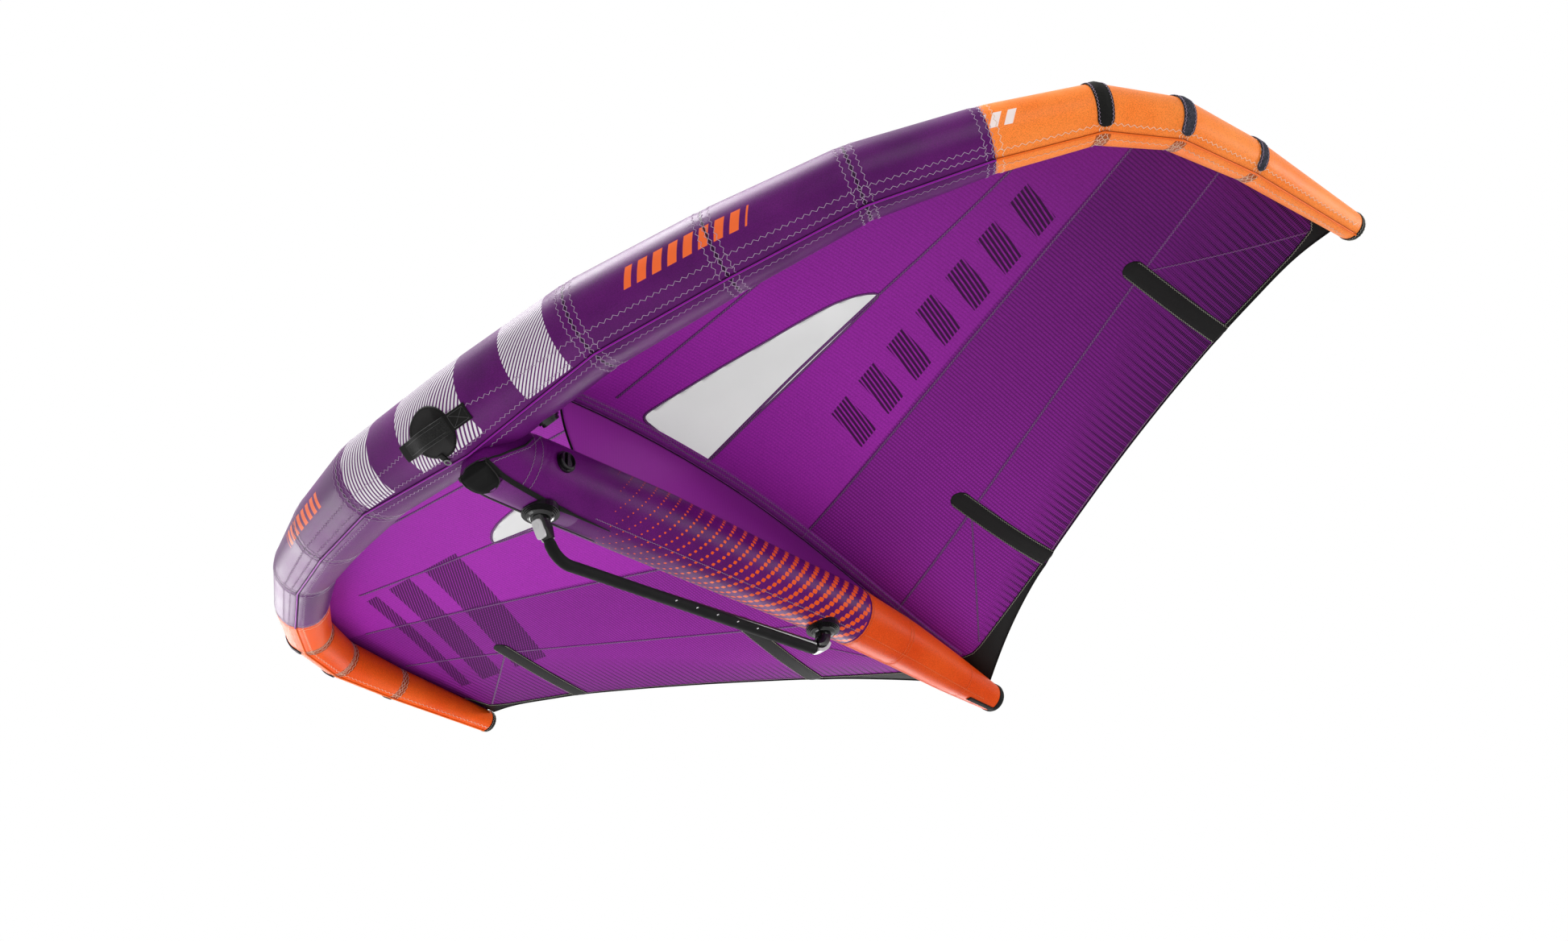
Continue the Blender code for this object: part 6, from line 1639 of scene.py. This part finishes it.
def make_stage(look):
    bpy.context.scene.view_settings.view_transform = "Standard"
    make_world(look)
    bpy.ops.object.select_all(action="DESELECT")
    bpy.ops.mesh.primitive_plane_add(size=FLOOR_SIZE, location=(0, 0, FLOOR_HEIGHT))
    floor = bpy.context.active_object
    floor.name = "studio_floor"
    floor.data.materials.append(MATERIALS["floor"])
    make_camera()
    for name, place, aim, size, power in LAMPS:
        light = bpy.data.lights.new(name, "AREA")
        light.shape, light.size, light.energy = "DISK", size, getattr(look, power)
        lamp = bpy.data.objects.new(name, light)
        bpy.context.scene.collection.objects.link(lamp)
        lamp.location = place
        lamp.rotation_euler = (Vector(aim) - Vector(place)).to_track_quat("-Z", "Y").to_euler()


# Settings, operators and panel

def hex_property(name, text, description):
    return bpy.props.StringProperty(name=name, default=text,
                                    description=description + ", as sRGB hex")


def power_property(name, power, description):
    return bpy.props.FloatProperty(name=name, default=power, min=0.0, unit="POWER",
                                   description="Power of the lamp " + description)


class WingLook(bpy.types.PropertyGroup):
    """Colours and light of the wing."""
    tube_deep: hex_property("Tube, deep", "#4c0a55", "Deep tone of the purple sailcloth")
    tube_pale: hex_property("Tube, pale", "#601268", "Pale tone of the purple sailcloth")
    # Painted light: the two tips are one orange cloth, the left set deeper and redder as if in
    # shade, the right paler and yellower as if lit.
    shaded_left_deep: hex_property("Left tip, deep", "#e44e10",
                            "Deep tone of the left tip's orange sailcloth")
    shaded_left_pale: hex_property("Left tip, pale", "#ec601c",
                            "Pale tone of the left tip's orange sailcloth")
    lit_right_deep: hex_property("Right tip, deep", "#fa8030",
                             "Deep tone of the right tip's orange sailcloth")
    lit_right_pale: hex_property("Right tip, pale", "#ff9646",
                             "Pale tone of the right tip's orange sailcloth")
    tail_deep: hex_property("Tail, deep", "#d0420f",
                            "Deep tone of the orange sailcloth on the strut")
    tail_pale: hex_property("Tail, pale", "#dc5018",
                            "Pale tone of the orange sailcloth on the strut")
    # Painted shade: the canopy's bright tone is its lit cloth near the strut; the deep tone is its
    # shade towards the tips and the tone of its darker rear panel.
    canopy_lit_tone: hex_property("Canopy, bright", "#a22bab", "Canopy cloth near the strut")
    canopy_shade_and_rear_tone: hex_property("Canopy, deep", "#63196c", "Canopy cloth towards the tips")
    world_strength: bpy.props.FloatProperty(name="Studio light", default=0.46, min=0.0, max=5.0,
                                            description="Strength of the even light from all round")
    key_power: power_property("Overhead lamp", 320.0, "above the leading edge")
    front_power: power_property("Front lamp", 65.0, "in front of the right tip")
    fill_power: power_property("Fill lamp", 42.0, "below the left half")
    side_power: power_property("Side lamp", 115.0, "beside the left tip")
    rim_power: power_property("Rim lamp", 85.0, "low behind the left half")
    glow_power: power_property("Strut lamp", 105.0, "behind the right half, along the strut")


class WING_OT_materials(bpy.types.Operator):
    """Make the wing's finishes"""
    bl_idname = "wing.materials"
    bl_label = "Finishes"

    def execute(self, context):
        make_materials(context.scene.wing_look)
        return {"FINISHED"}


class WING_OT_leading_edge(bpy.types.Operator):
    """Make the leading edge tube with its tips, caps, straps, piping and stitches"""
    bl_idname = "wing.leading_edge"
    bl_label = "Leading edge"

    def execute(self, context):
        make_leading_edge()
        return {"FINISHED"}


class WING_OT_strut(bpy.types.Operator):
    """Make the centre strut with its pad, binding, patch, cap and stitches"""
    bl_idname = "wing.strut"
    bl_label = "Strut"

    def execute(self, context):
        make_strut()
        return {"FINISHED"}


class WING_OT_canopy(bpy.types.Operator):
    """Make the canopy, windows, seams, batten pockets and patches"""
    bl_idname = "wing.canopy"
    bl_label = "Canopy"

    def execute(self, context):
        make_canopy()
        make_web()
        make_centre_band()
        return {"FINISHED"}


class WING_OT_handle(bpy.types.Operator):
    """Make the carry handle and the leash point"""
    bl_idname = "wing.handle"
    bl_label = "Handle"

    def execute(self, context):
        make_handle()
        return {"FINISHED"}


class WING_OT_boom(bpy.types.Operator):
    """Make the boom's grip and finish the moulded fittings"""
    bl_idname = "wing.boom"
    bl_label = "Boom"

    def execute(self, context):
        make_boom()
        dress_nodes()
        return {"FINISHED"}


class WING_OT_stage(bpy.types.Operator):
    """Make the floor, the light and the camera"""
    bl_idname = "wing.stage"
    bl_label = "Stage"

    def execute(self, context):
        make_stage(context.scene.wing_look)
        return {"FINISHED"}


OPERATORS = (WING_OT_materials, WING_OT_stage, WING_OT_leading_edge, WING_OT_strut, WING_OT_canopy,
             WING_OT_handle, WING_OT_boom)


class WING_PT_panel(bpy.types.Panel):
    """Lists the wing's settings and pieces"""
    bl_idname = "WING_PT_panel"
    bl_label = "Wing"
    bl_space_type = "VIEW_3D"
    bl_region_type = "UI"
    bl_category = "Wing"

    def draw(self, context):
        look = context.scene.wing_look
        for name in WingLook.__annotations__:
            self.layout.prop(look, name)
        for operator in OPERATORS:
            self.layout.operator(operator.bl_idname)


CLASSES = (WingLook, *OPERATORS, WING_PT_panel)


def register():
    for cls in CLASSES:
        bpy.utils.register_class(cls)
    bpy.types.Scene.wing_look = bpy.props.PointerProperty(type=WingLook)


def unregister():
    del bpy.types.Scene.wing_look
    for cls in reversed(CLASSES):
        bpy.utils.unregister_class(cls)


def main():
    register()
    for operator in OPERATORS:
        group, action = operator.bl_idname.split(".")
        getattr(getattr(bpy.ops, group), action)()


if __name__ == "__main__":
    main()
